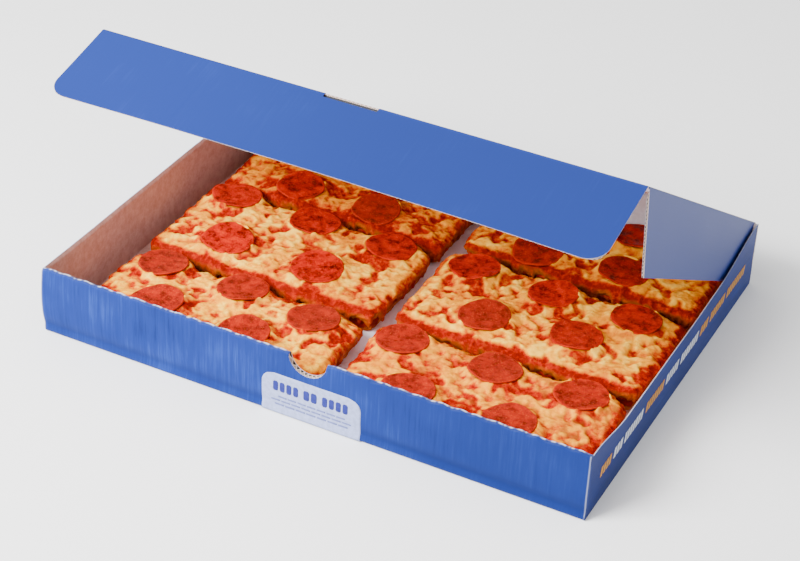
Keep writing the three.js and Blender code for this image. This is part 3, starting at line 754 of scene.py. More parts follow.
def base_patches():
    """The tray's base, seen from below as its outer face, a little waved on its upper side."""
    lengthwise = np.linspace(FRONT_Y + FOOT_RADIUS + 2.0, BACK_Y - 0.6, 70)
    x, y = np.meshgrid(np.linspace(SIDE_X - 0.6, -SIDE_X + 0.6, 90), lengthwise)
    thickness = BOARD + 0.15 * noise(x, y, 50.0, 41)
    return board_patches(stacked(x, y, 0.0 * x), (0.0, 0.0, -1.0), thickness, stacked(x, y) * MM)


def lid_axes():
    """The lid panel's own directions: across, forward from the hinge and outward."""
    forward = unit(TUCK_FOLD - HINGE)
    across = np.array([1.0, 0.0, 0.0])
    return across, forward, np.cross(forward, across)


def tuck_axes():
    """The tuck flap's directions: across, forward from its fold and outward."""
    across, forward, outward = lid_axes()
    bent = forward * math.cos(TUCK_BEND) - outward * math.sin(TUCK_BEND)
    return across, bent, np.cross(bent, across)


def side_axes(side):
    """A side flap's directions, along its crease and outward, and the back end of its crease."""
    across, forward, _ = lid_axes()
    along = forward * math.cos(LID_TAPER) - side * across * math.sin(LID_TAPER)
    normal = side * across * math.cos(LID_TAPER) + forward * math.sin(LID_TAPER)
    return along, normal, HINGE + side * lid_half(0.0) * across


def on_sheet(origin, across, forward, a, b, outward, lift):
    """Points of a sheet from its own coordinates, in millimetres: a along across, b along forward and
    lift along outward."""
    return origin + (a[..., None] * across + b[..., None] * forward) + lift[..., None] * outward


def lid_half(forward):
    """Half-width of the lid panel at a distance forward of its hinge."""
    return SIDE_X - LID_INSET_BACK - (LID_INSET_FRONT - LID_INSET_BACK) * forward / LID_LENGTH


def crease_thickness(distance, reach):
    """Board that is crushed towards a crease: next to nothing there, whole at reach from it."""
    return BOARD * np.clip(distance / reach, 0.08, 1.0)


def lid_panel_patches():
    """The lid panel, a grid from hinge to tuck fold that narrows forwards and is thinner on its
    inside along all four creases. Behind the slot its edge is whole, with the liner turned in below
    it; that turned-in part is painted near-black as painted shade."""
    across, forward, outward = lid_axes()
    share = [[0.0, 0.004, 0.012, 0.03], np.linspace(0.06, 0.94, 90), [0.97, 0.988, 0.996, 1.0]]
    ends = (SLOT_X[0] - SLOT_PAST, SLOT_X[1] + SLOT_PAST)
    slot = [end / (2.0 * (lid_half(LID_LENGTH) - LID_SET_IN)) + 0.5 for end in ends]
    share = np.unique(np.concatenate([*share, slot, [slot[0] - 1e-4, slot[1] + 1e-4]]))
    ahead = np.concatenate([
        [CREASE_START, 1.5, HINGE_BEVEL],
        np.linspace(8.0, LID_LENGTH - 8.0, 70),
        [LID_LENGTH - HINGE_BEVEL, LID_LENGTH - 1.2, LID_LENGTH - CREASE_START],
    ])
    s, b = np.meshgrid(share[::-1], ahead)
    half = lid_half(b) - LID_SET_IN
    a = (2.0 * s - 1.0) * half
    in_slot = (s >= slot[0]) & (s <= slot[1])
    from_side, from_tuck = half - np.abs(a), LID_LENGTH - b
    from_fold = np.minimum.reduce([from_side, b, from_tuck])
    warp = 0.35 * noise(a, b, 120.0, 51) * smooth_step(from_fold, 0.0, 12.0)
    outer = on_sheet(HINGE, across, forward, a, b, outward, warp)
    thickness = np.minimum.reduce([
        crease_thickness(from_side, SIDE_BEVEL),
        crease_thickness(b, HINGE_BEVEL),
        np.where(in_slot, BOARD, crease_thickness(from_tuck, HINGE_BEVEL)),
    ])
    thickness = thickness + TURNED_IN * in_slot * smooth_step(b, LID_LENGTH - 3.0, LID_LENGTH - CREASE_START)
    patches = board_patches(outer, outward, thickness, stacked(a, b) * MM)
    # Painted shade: the lower half of the rim behind the slot, the turned-in liner, is near-black.
    at_slot = border(in_slot & (b > LID_LENGTH - 1.0))
    lower = np.arange(RIM_LAYERS)[:, None] >= RIM_LAYERS // 2
    patches[2].material = np.where(lower & at_slot[:-1] & at_slot[1:], 3, 2)
    return patches


def tuck_flap_patches():
    """The tuck flap: rows across it from the fold to the free edge, each as wide as the flap is there,
    which leaves two round corners. The free edge bows a little and droops at its ends, and three
    faint score lines run down the flap. Beside the slot the board is crushed, and the rim at the
    slot's ends is painted near-black as painted shade."""
    across, forward, outward = tuck_axes()
    widest = lid_half(LID_LENGTH) - TUCK_SET_IN
    round_from = TUCK_LENGTH - TUCK_RADIUS
    rounded = round_from + TUCK_RADIUS * np.sin(np.linspace(0.0, 0.5 * np.pi, 26)[1:])
    ahead = np.concatenate([[CREASE_START, 1.5, HINGE_BEVEL], np.linspace(5.0, round_from, 30), rounded])
    slot = np.array(SLOT_X) / widest
    share = np.unique(np.concatenate([np.linspace(-1.0, 1.0, 241), slot, slot + [1e-4, -1e-4]]))
    share, b = np.meshgrid(share[::-1], ahead)
    bend = np.clip((b - round_from) / TUCK_RADIUS, 0.0, 1.0)
    a = share * (widest - TUCK_RADIUS * (1.0 - np.sqrt(1.0 - bend**2)))
    in_slot = (a > SLOT_X[0]) & (a < SLOT_X[1])
    out = a / widest
    b = np.where(in_slot, np.maximum(b, SLOT_DEPTH), b)
    b = b * (1.0 + (-1.2 + 1.3 * out + 2.6 * out**2) / TUCK_LENGTH)
    scores = sum(np.exp(-(((a - line) / 0.8) ** 2)) for line in TUCK_SCORES)
    warp = 0.3 * noise(a, b, 90.0, 61) * smooth_step(b, 0.0, 12.0)
    warp = warp - SCORE_DEPTH * scores * smooth_step(b, 20.0, 30.0) * (1.0 - smooth_step(b, 56.0, 62.0))
    outer = on_sheet(TUCK_FOLD, across, forward, a, b, outward, warp)
    from_edge = np.minimum(widest - np.abs(a), b.max(axis=0) - b)
    from_slot = np.maximum(SLOT_X[0] - a, a - SLOT_X[1])
    beside = 1.0 - smooth_step(from_slot, SLOT_PAST + 0.6, SLOT_PAST + 5.0)
    thickness = crease_thickness(b - SLOT_DEPTH * beside, HINGE_BEVEL)
    thickness = thickness * (0.25 + 0.75 * smooth_step(from_edge, 0.0, 3.0))
    patches = board_patches(outer, outward, thickness, stacked(a, b) * MM)
    # Painted shade: the ink is darker towards the right.
    patches[0].values = {"deep": 0.32 * smooth_step(a, -130.0, 60.0)}
    # Painted shade: the rim at the slot's two ends is near-black.
    at_slot = border(in_slot & (b < 2.0 * SLOT_DEPTH))
    patches[2].material = np.where(at_slot[:-1] != at_slot[1:], 3, 2)
    return patches


def side_flap_patches(side):
    """A side flap: a grid between its crease and its free edge, thinner on its inside towards the
    crease. Its back edge goes straight down past the hinge and then slants forward."""
    along, normal, origin = side_axes(side)
    down = np.concatenate([[0.0, 0.03, 0.06, 0.1], np.linspace(0.15, 1.0, 24)])
    u, v = np.meshgrid(np.linspace(0.0, 1.0, 120)[::-side], down)
    heel = [0.0, SIDE_FLAP_HEEL[1] / SIDE_FLAP_BACK[1], 1.0]
    back_b = np.interp(v, heel, [SIDE_FLAP_CREASE[0], SIDE_FLAP_HEEL[0], SIDE_FLAP_BACK[0]])
    back_d = np.interp(v, heel, [CREASE_START, SIDE_FLAP_HEEL[1], SIDE_FLAP_BACK[1]])
    front_b = SIDE_FLAP_CREASE[1] + (SIDE_FLAP_FRONT[side][0] - SIDE_FLAP_CREASE[1]) * v
    front_d = CREASE_START + (SIDE_FLAP_FRONT[side][1] - CREASE_START) * v
    b, d = back_b + (front_b - back_b) * u, back_d + (front_d - back_d) * u
    warp = 0.35 * noise(b, d, 80.0, 71 + side) * smooth_step(d, 0.0, 12.0)
    outer = on_sheet(origin, along, -lid_axes()[2], b, d, normal, warp)
    return board_patches(outer, normal, crease_thickness(d, SIDE_BEVEL), stacked(d, b) * MM)


def crease_patches(start, end, leave, arrive):
    """The outer liner round a fold: a thin strip carried along the fold line from start to end, its
    section a smooth bend from one face to the other, bulging a little past the fold."""
    length = np.linalg.norm(end - start)
    count = max(int(length / 4.0), 2)
    t, s = np.linspace(0.0, 1.0, 9)[:, None, None], np.linspace(0.0, 1.0, count)[None, :, None]
    spine = start * (1.0 - s) + end * s
    first, last = spine + leave * CREASE_REACH, spine + arrive * CREASE_REACH
    outward = -unit(leave + arrive)
    outer = first * (1 - t) ** 2 + (spine + outward * 0.25) * 2 * t * (1 - t) + last * t**2 + outward * 0.05
    inner = outer - outward * 0.3
    uv = stacked(*np.broadcast_arrays(np.linspace(0.0, length, count) * MM, t[..., 0] * CREASE_REACH * MM))
    rim = np.stack([border(outer), border(inner)])
    return [Patch(outer, uv=uv), Patch(inner, flip=True, uv=uv), Patch(rim, flip=True, uv=0.0 * rim[..., :2])]


def make_tray():
    """The tray as one piece, which takes the CAD tray's place."""
    patches = front_wall_patches() + side_wall_patches(1) + side_wall_patches(-1)
    patches += back_wall_patches() + base_patches()
    add_piece("printed_tray", patches, board_materials(), "tray", "tray", sharp=40)


def make_lid():
    """The lid's four sheets of board."""
    for name, patches, body, node in (
        ("lid_board", lid_panel_patches(), "lid", "lid_panel"),
        ("tuck_board", tuck_flap_patches(), "tuck", "front_flap"),
        ("side_board_right", side_flap_patches(1), "flap_right", "side_flap_right"),
        ("side_board_left", side_flap_patches(-1), "flap_left", "side_flap_left"),
    ):
        add_piece(name, patches, lid_materials(), body, node, sharp=40)


def make_creases():
    """The liner that joins the sheets over each fold, each strip made in place where the fold lies at rest.
    """
    across, forward, outward = lid_axes()
    bent, up = tuck_axes()[1], np.array([0.0, 0.0, 1.0])
    back, front = lid_half(0.0) - 0.4, lid_half(LID_LENGTH) - TUCK_SET_IN - 0.3
    tuck = (TUCK_FOLD, across, -forward, bent, "lid", "tuck")
    folds = [
        ("lid_crease", (back, -back), HINGE, across, -up, forward, "tray", "lid"),
        ("tuck_crease_1", (front, SLOT_X[1]), *tuck),
        ("tuck_crease_2", (SLOT_X[0], -front), *tuck),
    ]
    for side, word in ((1, "right"), (-1, "left")):
        along, normal, origin = side_axes(side)
        ends = (4.0, LID_LENGTH - 1.0)[::side]
        folds.append((f"side_crease_{word}", ends, origin, along, -normal, -outward, "lid", f"flap_{word}"))
    for name, ends, origin, along, leave, arrive, first, second in folds:
        patches = crease_patches(*(origin + along * e for e in ends), leave, arrive)
        strip = make_piece(name, patches, lid_materials(), sharp=60)
        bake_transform(strip)


# ---------------------------------------------------------------- pizza


class Slice:
    """One slice: its extent on the table, its sides and its pepperoni, from the frame."""

    def __init__(self, name):
        self.name = name
        low, high = box_mm(f"cheese_{name}")[:, :2]
        self.centre, self.half = (low + high) / 2.0, (high - low) / 2.0
        row, column = name.split("_")
        self.outer_u = 1 if column == "right" else -1
        self.outer_v = {"front": -1, "middle": 0, "back": 1}[row]
        self.seed = 100 * (SLICES.index(name) + 1)
        self.discs = [pepperoni_pose(f"pepperoni_{name}_{i + 1}") for i in range(PEPPERONI_PER_SLICE)]

    def plan(self, u, v, set_in=0.0):
        """Place on the table of (u, v), each -1 to 1: a rectangle whose corners are pulled in, more at
        the pan's corners, and whose edges wander by a millimetre or two."""
        pan = (np.sign(u) == self.outer_u) & (np.sign(v) == self.outer_v)
        pull = np.where(pan, 9.0, 3.0) * u**8 * v**8
        x = self.centre[0] + u * (self.half[0] - set_in) - np.sign(u) * pull
        y = self.centre[1] + v * (self.half[1] - set_in) - np.sign(v) * pull
        sizes = ((1.3, 26.0), (0.9, 10.0), (0.5, 4.5))
        wander_x, wander_y = (
            sum(size * noise(x, y, cell, self.seed + first + n) for n, (size, cell) in enumerate(sizes))
            for first in (1, 4)
        )
        return x + wander_x * np.abs(u) ** 9, y + wander_y * np.abs(v) ** 9

    def parameters(self, cell):
        """The grid of (u, v) for cells of about the given size."""
        return np.meshgrid(*(np.linspace(-1.0, 1.0, int(round(2.0 * h / cell)) + 1) for h in self.half))


def pepperoni_pose(node):
    """Centre, upward normal and radius of a CAD disc: the normal is the direction in which its
    vertices spread least."""
    mesh = frame["nodes"][node].data
    co = np.empty(len(mesh.vertices) * 3, np.float32)
    mesh.vertices.foreach_get("co", co)
    co = co.reshape(-1, 3) / MM
    low, high = co.min(axis=0), co.max(axis=0)
    axis = np.linalg.svd(co - co.mean(axis=0), full_matrices=False)[2][2]
    radius = (high[:2] - low[:2]).mean() / 2.0
    return {"node": node, "centre": (low + high) / 2.0, "normal": axis * np.sign(axis[2]), "radius": radius}


def disc_height(disc, x, y):
    """Height of a disc's middle plane over a place on the table."""
    n, c = disc["normal"], disc["centre"]
    return c[2] - (n[0] * (x - c[0]) + n[1] * (y - c[1])) / n[2]


def melted_shreds(x, y, count, lengths, radii, seed):
    """Shreds of cheese strewn over a grid. Each is a bent rod with a round back, lying at random,
    some on top of others; the height at a place is the highest rod there, and each rod also has its
    own tint. Both are then blurred a little, as the shreds melt into each other."""
    rng = np.random.default_rng(seed)
    low, high = (x.min(), y.min()), (x.max(), y.max())
    cell = (high[0] - low[0]) / (x.shape[1] - 1)
    height, tint = np.zeros_like(x), np.full_like(x, 0.5)
    middles = rng.uniform(low, high, (count, 2))
    heading = rng.random(count) * np.pi
    length = rng.uniform(*lengths, count)
    radius = rng.uniform(*radii, count)
    lift = rng.uniform(0.0, 0.8, count)
    shade = rng.random(count)
    bend = rng.uniform(-0.9, 0.9, count)
    for k in range(count):
        reach = length[k] / 2.0 + radius[k] + 1.0
        ends = (middles[k] + [[-reach], [reach]] - low) / cell
        (j0, i0), (j1, i1) = np.clip(ends, 0, x.shape[::-1]).astype(int)
        if i1 - i0 < 2 or j1 - j0 < 2:
            continue
        window = np.s_[i0:i1, j0:j1]
        dx, dy = x[window] - middles[k][0], y[window] - middles[k][1]
        c, s = math.cos(heading[k]), math.sin(heading[k])
        along, side = dx * c + dy * s, dy * c - dx * s
        side = side - bend[k] * along**2 / length[k]
        past = np.clip(np.abs(along) - length[k] / 2.0, 0.0, None)
        inside = np.clip(1.0 - (side**2 + past**2) / radius[k] ** 2, 0.0, None)
        rod = np.where(inside > 0.0, lift[k] + radius[k] * 0.45 * np.sqrt(inside), 0.0)
        higher = rod > height[window]
        height[window] = np.where(higher, rod, height[window])
        tint[window] = np.where(higher, shade[k], tint[window])
    melt = 0.3 * radii[0] / cell
    return blurred(height, melt), blurred(tint, 1.3 * melt)


def ranked(values):
    """Each value's place in the order of all of them, from 0 for the lowest to 1 for the highest."""
    order = np.empty(values.size)
    order[np.argsort(values, axis=None)] = np.linspace(0.0, 1.0, values.size)
    return order.reshape(values.shape)


def cheese_surface(part, u, v, shreds):
    """The cheese's top over a grid: a level with broad swells, the melted shreds and curds on it, a fall
    towards the edges, a rise to the underside of each disc, and here and there a lap over its rim.
    Also its cover, oil and toast, from 0 to 1. cover is higher where the cheese stands above its
    surroundings and varies from one part of the slice to the next; as the rank of that, it is spread
    evenly over each slice. Where a slice meets the one in front of it, its edge is bare and the other's
    sinks."""
    x, y = part.plan(u, v)
    seed = part.seed
    cell = (x.max() - x.min()) / (x.shape[1] - 1)
    rods, tint = melted_shreds(x, y, shreds, (5.0, 24.0), (2.0, 4.6), seed + 10)
    fine, fine_tint = melted_shreds(x, y, 2 * shreds, (4.0, 13.0), (0.9, 1.7), seed + 26)
    tint = 0.6 * tint + 0.4 * fine_tint
    zone = noise(x, y, 26.0, seed + 11)
    pool = 0.5 + 0.5 * noise(x, y, 18.0, seed + 12) + 0.3 * noise(x, y, 8.0, seed + 13)
    thin = smooth_step(noise(x, y, 18.0, seed + 14) + 0.6 * noise(x, y, 7.0, seed + 15), 0.1, 0.6)
    relief = np.maximum(rods * (1.0 - 0.7 * thin), 1.9 * smooth_step(pool, 0.4, 1.0))
    relief = relief + 0.4 * fine + 0.35 * noise(x, y, 6.5, seed + 16) + 0.16 * noise(x, y, 2.9, seed + 17)
    edge_u, edge_v = part.half[0] * (1.0 - np.abs(u)), part.half[1] * (1.0 - np.abs(v))
    edge = np.minimum(edge_u, edge_v)
    fall = 1.7 * (1.0 - smooth_step(edge, 0.0, 12.0)) + 1.5 * (1.0 - smooth_step(edge, 0.0, 2.5))
    if part.outer_v <= 0:
        fall = fall + 2.2 * (1.0 - smooth_step(part.half[1] * (1.0 - v), 0.0, 9.0))
    z = CHEESE_LEVEL + 0.9 * noise(x, y, 46.0, seed + 18) + 0.6 * noise(x, y, 17.0, seed + 19) - fall + relief
    laps = smooth_step(noise(x, y, 9.0, seed + 20), 0.3, 0.75)
    for disc in part.discs:
        away = np.hypot(x - disc["centre"][0], y - disc["centre"][1]) / disc["radius"]
        middle = disc_height(disc, x, y)
        near = 1.0 - smooth_step(away, 0.9, 1.42)
        z = z * (1.0 - near) + (middle - DISC_SUNK + 0.5 * relief * (away > 0.9)) * near
        z = np.where(away < 0.97, np.minimum(z, middle - DISC_SUNK), z)
        over = laps * np.exp(-(((away - 0.985) / 0.055) ** 2))
        z = z + over * np.clip(middle + 1.5 - z, 0.0, None)
        relief = relief + 1.2 * over
    peak = blurred(relief, 0.5 / cell) - blurred(relief, 4.5 / cell)
    cover = 0.42 * peak + 0.4 * zone + 0.6 * (tint - 0.5) - 0.6 * thin + 0.1 * noise(x, y, 4.0, seed + 25)
    if part.outer_v >= 0:
        cover = cover - 1.1 * (1.0 - smooth_step(part.half[1] * (1.0 + v), 1.5, 7.5))
    pan_u = np.where(np.sign(u) == part.outer_u, edge_u, 99.0)
    pan_edge = np.minimum(pan_u, np.where(np.sign(v) == part.outer_v, edge_v, 99.0))
    cover = cover - 0.45 * (1.0 - smooth_step(edge, 0.5, 5.0))
    cover = cover - 0.35 * (1.0 - smooth_step(pan_edge, 1.0, 10.0))
    # Painted shade: some slices' cover is scaled down, the back left one for the lid's shadow on it; the
    # front ones are made less pale.
    cover = ranked(cover) * DIMMED_COVER_SHARE.get(part.name, 1.0)
    stain = noise(x, y, 12.0, seed + 21) + 0.6 * noise(x, y, 4.5, seed + 22)
    oil = 0.8 * smooth_step(stain, 0.1, 0.75) * smooth_step(cover, 0.2, 0.5)
    blister = noise(x, y, 6.5, seed + 23) + 0.6 * noise(x, y, 27.0, seed + 24)
    # The front slices get more brown spots, the right one most.
    front_brown = (0.46 if part.outer_u > 0 else 0.28) if part.outer_v < 0 else 0.0
    toast = (0.6 + front_brown) * smooth_step(blister, 0.75 - 1.5 * front_brown, 1.35) * smooth_step(relief, 0.2, 1.4)
    return stacked(x, y, z), {"cover": cover, "oil": oil, "toast": toast}


def side_rings(part, u, v, levels):
    """Rings round a slice, from the top down: each level is its height and how far it is set in from
    the cut, as numbers or as functions of the distance round the slice."""
    places = [part.plan(u, v, set_in) for _, set_in in levels]
    return np.stack([stacked(x, y, height + 0.0 * x) for (x, y), (height, _) in zip(places, levels)])


def middle_ring(part, z, rings):
    """A ring shrunk to the slice's centre at a height: it closes the rings above or below."""
    return np.broadcast_to([*part.centre, z], rings[:1].shape)


def add_cheese(part, settings, material):
    """One slice's cheese: the top grid, a lip that hangs over the cut in drips, and a flat underside."""
    u, v = part.parameters(settings.cell)
    top, values = cheese_surface(part, u, v, settings.shreds)
    u, v, edge = border(u), border(v), border(top)
    x, y = part.plan(u, v)
    drip = 0.45 + 0.5 * noise(x, y, 10.0, part.seed + 31) + 0.35 * noise(x, y, 4.0, part.seed + 32)
    drip = smooth_step(drip, 0.2, 1.0)
    edge_z = edge[:, 2]
    hang = edge_z - 2.0 - (edge_z - 6.5) * (0.3 + 0.6 * drip)
    levels = []
    for k, down in enumerate((0.08, 0.25, 0.45, 0.65, 0.85, 1.0)):
        lumps = 0.7 * noise(x + 2.0 * k, y - 3.0 * k, 4.5, part.seed + 33)
        swell = -0.9 * math.sin(math.pi * min(down + 0.2, 1.0)) - 0.5 * drip
        levels.append((edge_z + (hang - edge_z) * down, swell + lumps + 1.6 * down**3))
    rings = side_rings(part, u, v, [*levels, (hang - 0.3, 3.4), (CHEESE_FOOT, 7.0)])
    rings = np.concatenate([edge[None], rings, middle_ring(part, CHEESE_FOOT, rings)])
    fade = np.array([0.0, 0.25, 0.55, 0.8, 0.92, 1.0, 1.0, 1.0, 1.0, 1.0])[:, None]
    streak = 0.5 + 0.6 * noise(x, y, 5.0, part.seed + 34)
    low = {"cover": 0.04 + 0.34 * drip * streak, "oil": 0.25 * (1.0 - drip)}
    side = {key: border(value) * (1.0 - fade) + low.get(key, 0.0) * fade for key, value in values.items()}
    side["cover"] = np.clip(side["cover"], 0.0, 1.0)
    patches = [Patch(top, values=values), Patch(rings, flip=True, values=side)]
    name = part.name
    add_piece(f"melted_cheese_{name}", patches, [material], "tray", f"cheese_{name}")


def add_sauce(part, material):
    """One slice's sauce: a band under the cheese with runs down the side, closed above and below."""
    u, v = (border(values) for values in part.parameters(1.0))
    x, y = part.plan(u, v)
    run = 0.5 + 0.5 * noise(x, y, 13.0, part.seed + 41) + 0.4 * noise(x, y, 5.0, part.seed + 42)
    run = smooth_step(run, 0.35, 1.1)
    low = 11.5 - 8.2 * run
    rings = side_rings(part, u, v, [
        (SAUCE_TOP, 8.0),
        (SAUCE_TOP, 2.6),
        (SAUCE_TOP - 0.9, 1.9),
        (0.5 * low + 7.0, 2.4 - 0.4 * run),
        (low + 1.0, 3.4 - 0.6 * run),
        (low, 5.4),
        (SAUCE_FOOT, 9.0),
    ])
    ends = [middle_ring(part, z, rings) for z in (SAUCE_TOP, SAUCE_FOOT)]
    patch = Patch(np.concatenate([ends[0], rings, ends[1]]), flip=True)
    name = part.name
    add_piece(f"tomato_sauce_{name}", [patch], [material], "tray", f"sauce_{name}")


def add_crust(part, material):
    """One slice's dough: rings from the top down whose sides swell and are pitted like crumb."""
    u, v = (border(values) for values in part.parameters(1.0))
    x, y = part.plan(u, v)
    levels = []
    for k, z in enumerate(CRUST_RINGS):
        pits = 0.5 * noise(x + 3.1 * z, y + 2.3 * z, 3.4, part.seed + 51)
        pits = pits + 0.4 * noise(x + z, y - z, 9.0, part.seed + 52)
        levels.append((z, 5.2 - 1.3 * math.sin(math.pi * k / (len(CRUST_RINGS) - 1)) + pits))
    rings = side_rings(part, u, v, levels)
    ends = [middle_ring(part, z, rings) for z in (CRUST_RINGS[0], CRUST_RINGS[-1])]
    rings = np.concatenate([ends[0], rings, ends[1]])
    patch = Patch(rings, flip=True, values={"height": rings[..., 2] / CRUST_RINGS[0]})
    name = part.name
    add_piece(f"baked_dough_{name}", [patch], [material], "tray", f"crust_{name}")


def add_pepperoni(disc, seed, material):
    """One slice of sausage: its section from the middle of the top, over the rounded rim, to the
    middle underneath, carried once round; the rim wanders, and the whole is a little buckled."""
    rng = np.random.default_rng(seed)
    flat = np.linspace(0.0, 0.94, 24)
    out = np.concatenate([flat, [0.965, 0.985, 0.997, 1.0, 0.99, 0.96], np.linspace(0.8, 0.0, 6)])[:, None]
    rim = [SAUSAGE_THICK - 0.05, SAUSAGE_THICK - 0.2, SAUSAGE_THICK - 0.5, 0.4, 0.12, 0.0]
    up = np.concatenate([0.0 * flat + SAUSAGE_THICK, rim, np.zeros(6)])[:, None]
    angle = np.linspace(0.0, 2.0 * np.pi, 121)
    lobes = rng.integers(2, 4)
    phase = rng.random(3) * 2.0 * np.pi
    wave = 1.0 + 0.02 * np.sin(lobes * angle + phase[0]) + 0.012 * np.sin(5 * angle + phase[1])
    wave = wave + 0.006 * np.sin(11 * angle + phase[2])
    radius = (disc["radius"] - 0.2) * out * wave
    a, b = radius * np.cos(angle), radius * np.sin(angle)
    cup = 0.8 * out**3 * (1.0 + 0.9 * np.sin(lobes * angle + phase[1]))
    buckle = 0.55 * noise(a + 40.0, b + 40.0, 14.0, seed + 1) + 0.16 * noise(a, b, 4.0, seed + 2)
    normal = disc["normal"]
    first = unit(np.cross([0.0, 1.0, 0.0], normal))
    height = up - SAUSAGE_SUNK + cup + buckle
    points = on_sheet(disc["centre"], first, np.cross(normal, first), a, b, normal, height)
    points[:, -1] = points[:, 0]
    # Painted sheen: the front discs are made browner.
    painted_sheen = 0.4 if "_front_" in disc["node"] else 0.0
    tone = painted_sheen + (0.55 - painted_sheen) * rng.random() ** 2
    patch = Patch(points, flip=True, values={"rim": out, "tone": tone})
    name = disc["node"].replace("pepperoni", "sausage", 1)
    add_piece(name, [patch], [material], "tray", disc["node"])


# ---------------------------------------------------------------- print


def front_field(left, right, low, high, corner, lift):
    """A rounded field of ink on the front wall: rows across it, each as wide as the field is there."""
    across = np.linspace(-1.0, 1.0, max(int((right - left) / 1.5), 8))
    share, row = np.meshgrid(across, np.linspace(0.0, 1.0, 24 if high - low > 8.0 else 8))
    z = low + row * (high - low)
    cut = 0.0
    for radius, distance in zip(corner, (z - low, high - z)):
        into = np.clip((radius - distance) / max(radius, 1e-6), 0.0, 1.0)
        cut = cut + radius * (1.0 - np.sqrt(1.0 - into**2))
    x = (left + right) / 2.0 + share * ((right - left) / 2.0 - cut)
    return stacked(x, FRONT_Y - front_bulge(x, z) - PRINT_LIFT * lift, z), (0.0, -1.0, 0.0)


def wall_field(start, end):
    """A field of ink on the right wall, slanted like italic print."""
    y, z = np.meshgrid(np.linspace(start, end, 6), np.linspace(*WALL_PRINT, 6))
    y = y + PRINT_SLANT * (z - WALL_PRINT[0])
    return stacked(side_face(y, z) + PRINT_LIFT, y, z), (1.0, 0.0, 0.0)


def blocks(start, end, width, gap):
    """Ends of the blocks that fill a stretch: as near to the given width as fits a whole number."""
    count = max(int(round((end - start + gap) / (width + gap))), 1)
    pitch = (end - start + gap) / count
    return [(start + k * pitch, start + (k + 1) * pitch - gap) for k in range(count)]


def add_print(name, fields, material):
    """One colour of print: thin closed sheets of ink on the board."""
    patches = []
    for outer, normal in fields:
        patches += board_patches(outer, normal, INK_THICK, outer[..., [0, 2]] * MM)
    for patch in patches:
        patch.material = 0
    add_piece(name, patches, [material], "tray")


def make_print():
    """The pale label with plain blocks and lines on the front wall, and rows of amber and white blocks
    on the right wall."""
    white, pale, violet, grey, amber = (
        finish(name, ink_patch, colour)
        for name, colour in (
            ("unprinted_white_liner", "#ccd0dc"),
            ("pale_blue_flexo_ink", "#9aa4cc"),
            ("violet_flexo_ink", "#242a78"),
            ("grey_flexo_ink", "#6a72a4"),
            ("amber_flexo_ink", bpy.context.scene.boxed_pizza_box.amber),
        )
    )
    add_print("label_field", [front_field(-29.5, 44.5, 0.6, 32.5, (0.0, 9.0), 1.0)], pale)
    heading = [ends for word in LABEL_HEADING for ends in blocks(*word, 3.6, 1.3)]
    add_print("label_heading", [front_field(*ends, 18.6, 26.4, (0.8, 0.8), 2.0) for ends in heading], violet)
    lines = [
        front_field(*ends, low, low + 1.3, (0.3, 0.3), 2.0)
        for low, *line in LABEL_LINES
        for ends in blocks(*line, 6.5, 1.0)
    ]
    add_print("label_lines", lines, grey)
    for name, words, ink in (("amber", AMBER_WORDS, amber), ("white", WHITE_WORDS, white)):
        fields = [wall_field(*ends) for word in words for ends in blocks(*word, 3.4, 1.3)]
        add_print(f"wall_blocks_{name}", fields, ink)


# ---------------------------------------------------------------- stage


def make_camera(settings):
    """The camera, at the place and aim that show the box from its front right, above."""
    data = bpy.data.cameras.new("camera")
    data.lens = settings.lens
    data.sensor_width = 36.0
    data.shift_x, data.shift_y = CAMERA_SHIFT
    camera = bpy.data.objects.new("camera", data)
    bpy.context.scene.collection.objects.link(camera)
    place, aim = Vector(CAMERA_PLACE) * MM, Vector(CAMERA_AIM) * MM
    turn = (aim - place).to_track_quat("-Z", "Y").to_matrix().to_4x4()
    camera.matrix_world = Matrix.Translation(place) @ turn @ Matrix.Rotation(CAMERA_ROLL, 4, "Z")
    bpy.context.scene.camera = camera


def area_light(name, place, aim, size, power):
    """A square softbox that faces a point."""
    data = bpy.data.lights.new(name, "AREA")
    data.shape = "SQUARE"
    data.size = size
    data.energy = power
    light = bpy.data.objects.new(name, data)
    light.location = place
    light.rotation_mode = "QUATERNION"
    light.rotation_quaternion = (Vector(aim) - Vector(place)).to_track_quat("-Z", "Y")
    bpy.context.scene.collection.objects.link(light)


def make_stage(settings):
    """Floor, world and lights."""
    x, y = np.meshgrid(np.linspace(-6000.0, 6000.0, 13), np.linspace(-6000.0, 6000.0, 13))
    floor = finish("studio_floor", studio_floor, settings.floor)
    make_piece("studio_floor", [Patch(stacked(x, y, 0.0 * x - 0.05))], [floor])
    world = bpy.data.worlds.new("studio_world")
    world.use_nodes = True
    background = world.node_tree.nodes["Background"]
    background.inputs["Color"].default_value = (1.0, 1.0, 1.0, 1.0)
    background.inputs["Strength"].default_value = settings.sky
    bpy.context.scene.world = world
    area_light("key_light", (-0.89, -1.3, 1.24), (0.0, 0.0, 0.05), 1.0, settings.key_power)
    area_light("top_light", (-0.5, -1.1, 2.0), (0.0, 0.0, 0.0), 1.2, settings.top_power)


# ---------------------------------------------------------------- operators


class BOXEDPIZZA_OT_tray(bpy.types.Operator):
    """Makes the printed tray and its print"""

    bl_idname = "boxed_pizza.tray"
    bl_label = "Tray"

    def execute(self, context):
        make_tray()
        make_print()
        return {"FINISHED"}


class BOXEDPIZZA_OT_lid(bpy.types.Operator):
    """Makes the lid, its flaps and the creases between them"""

    bl_idname = "boxed_pizza.lid"
    bl_label = "Lid"

    def execute(self, context):
        make_lid()
        make_creases()
        return {"FINISHED"}


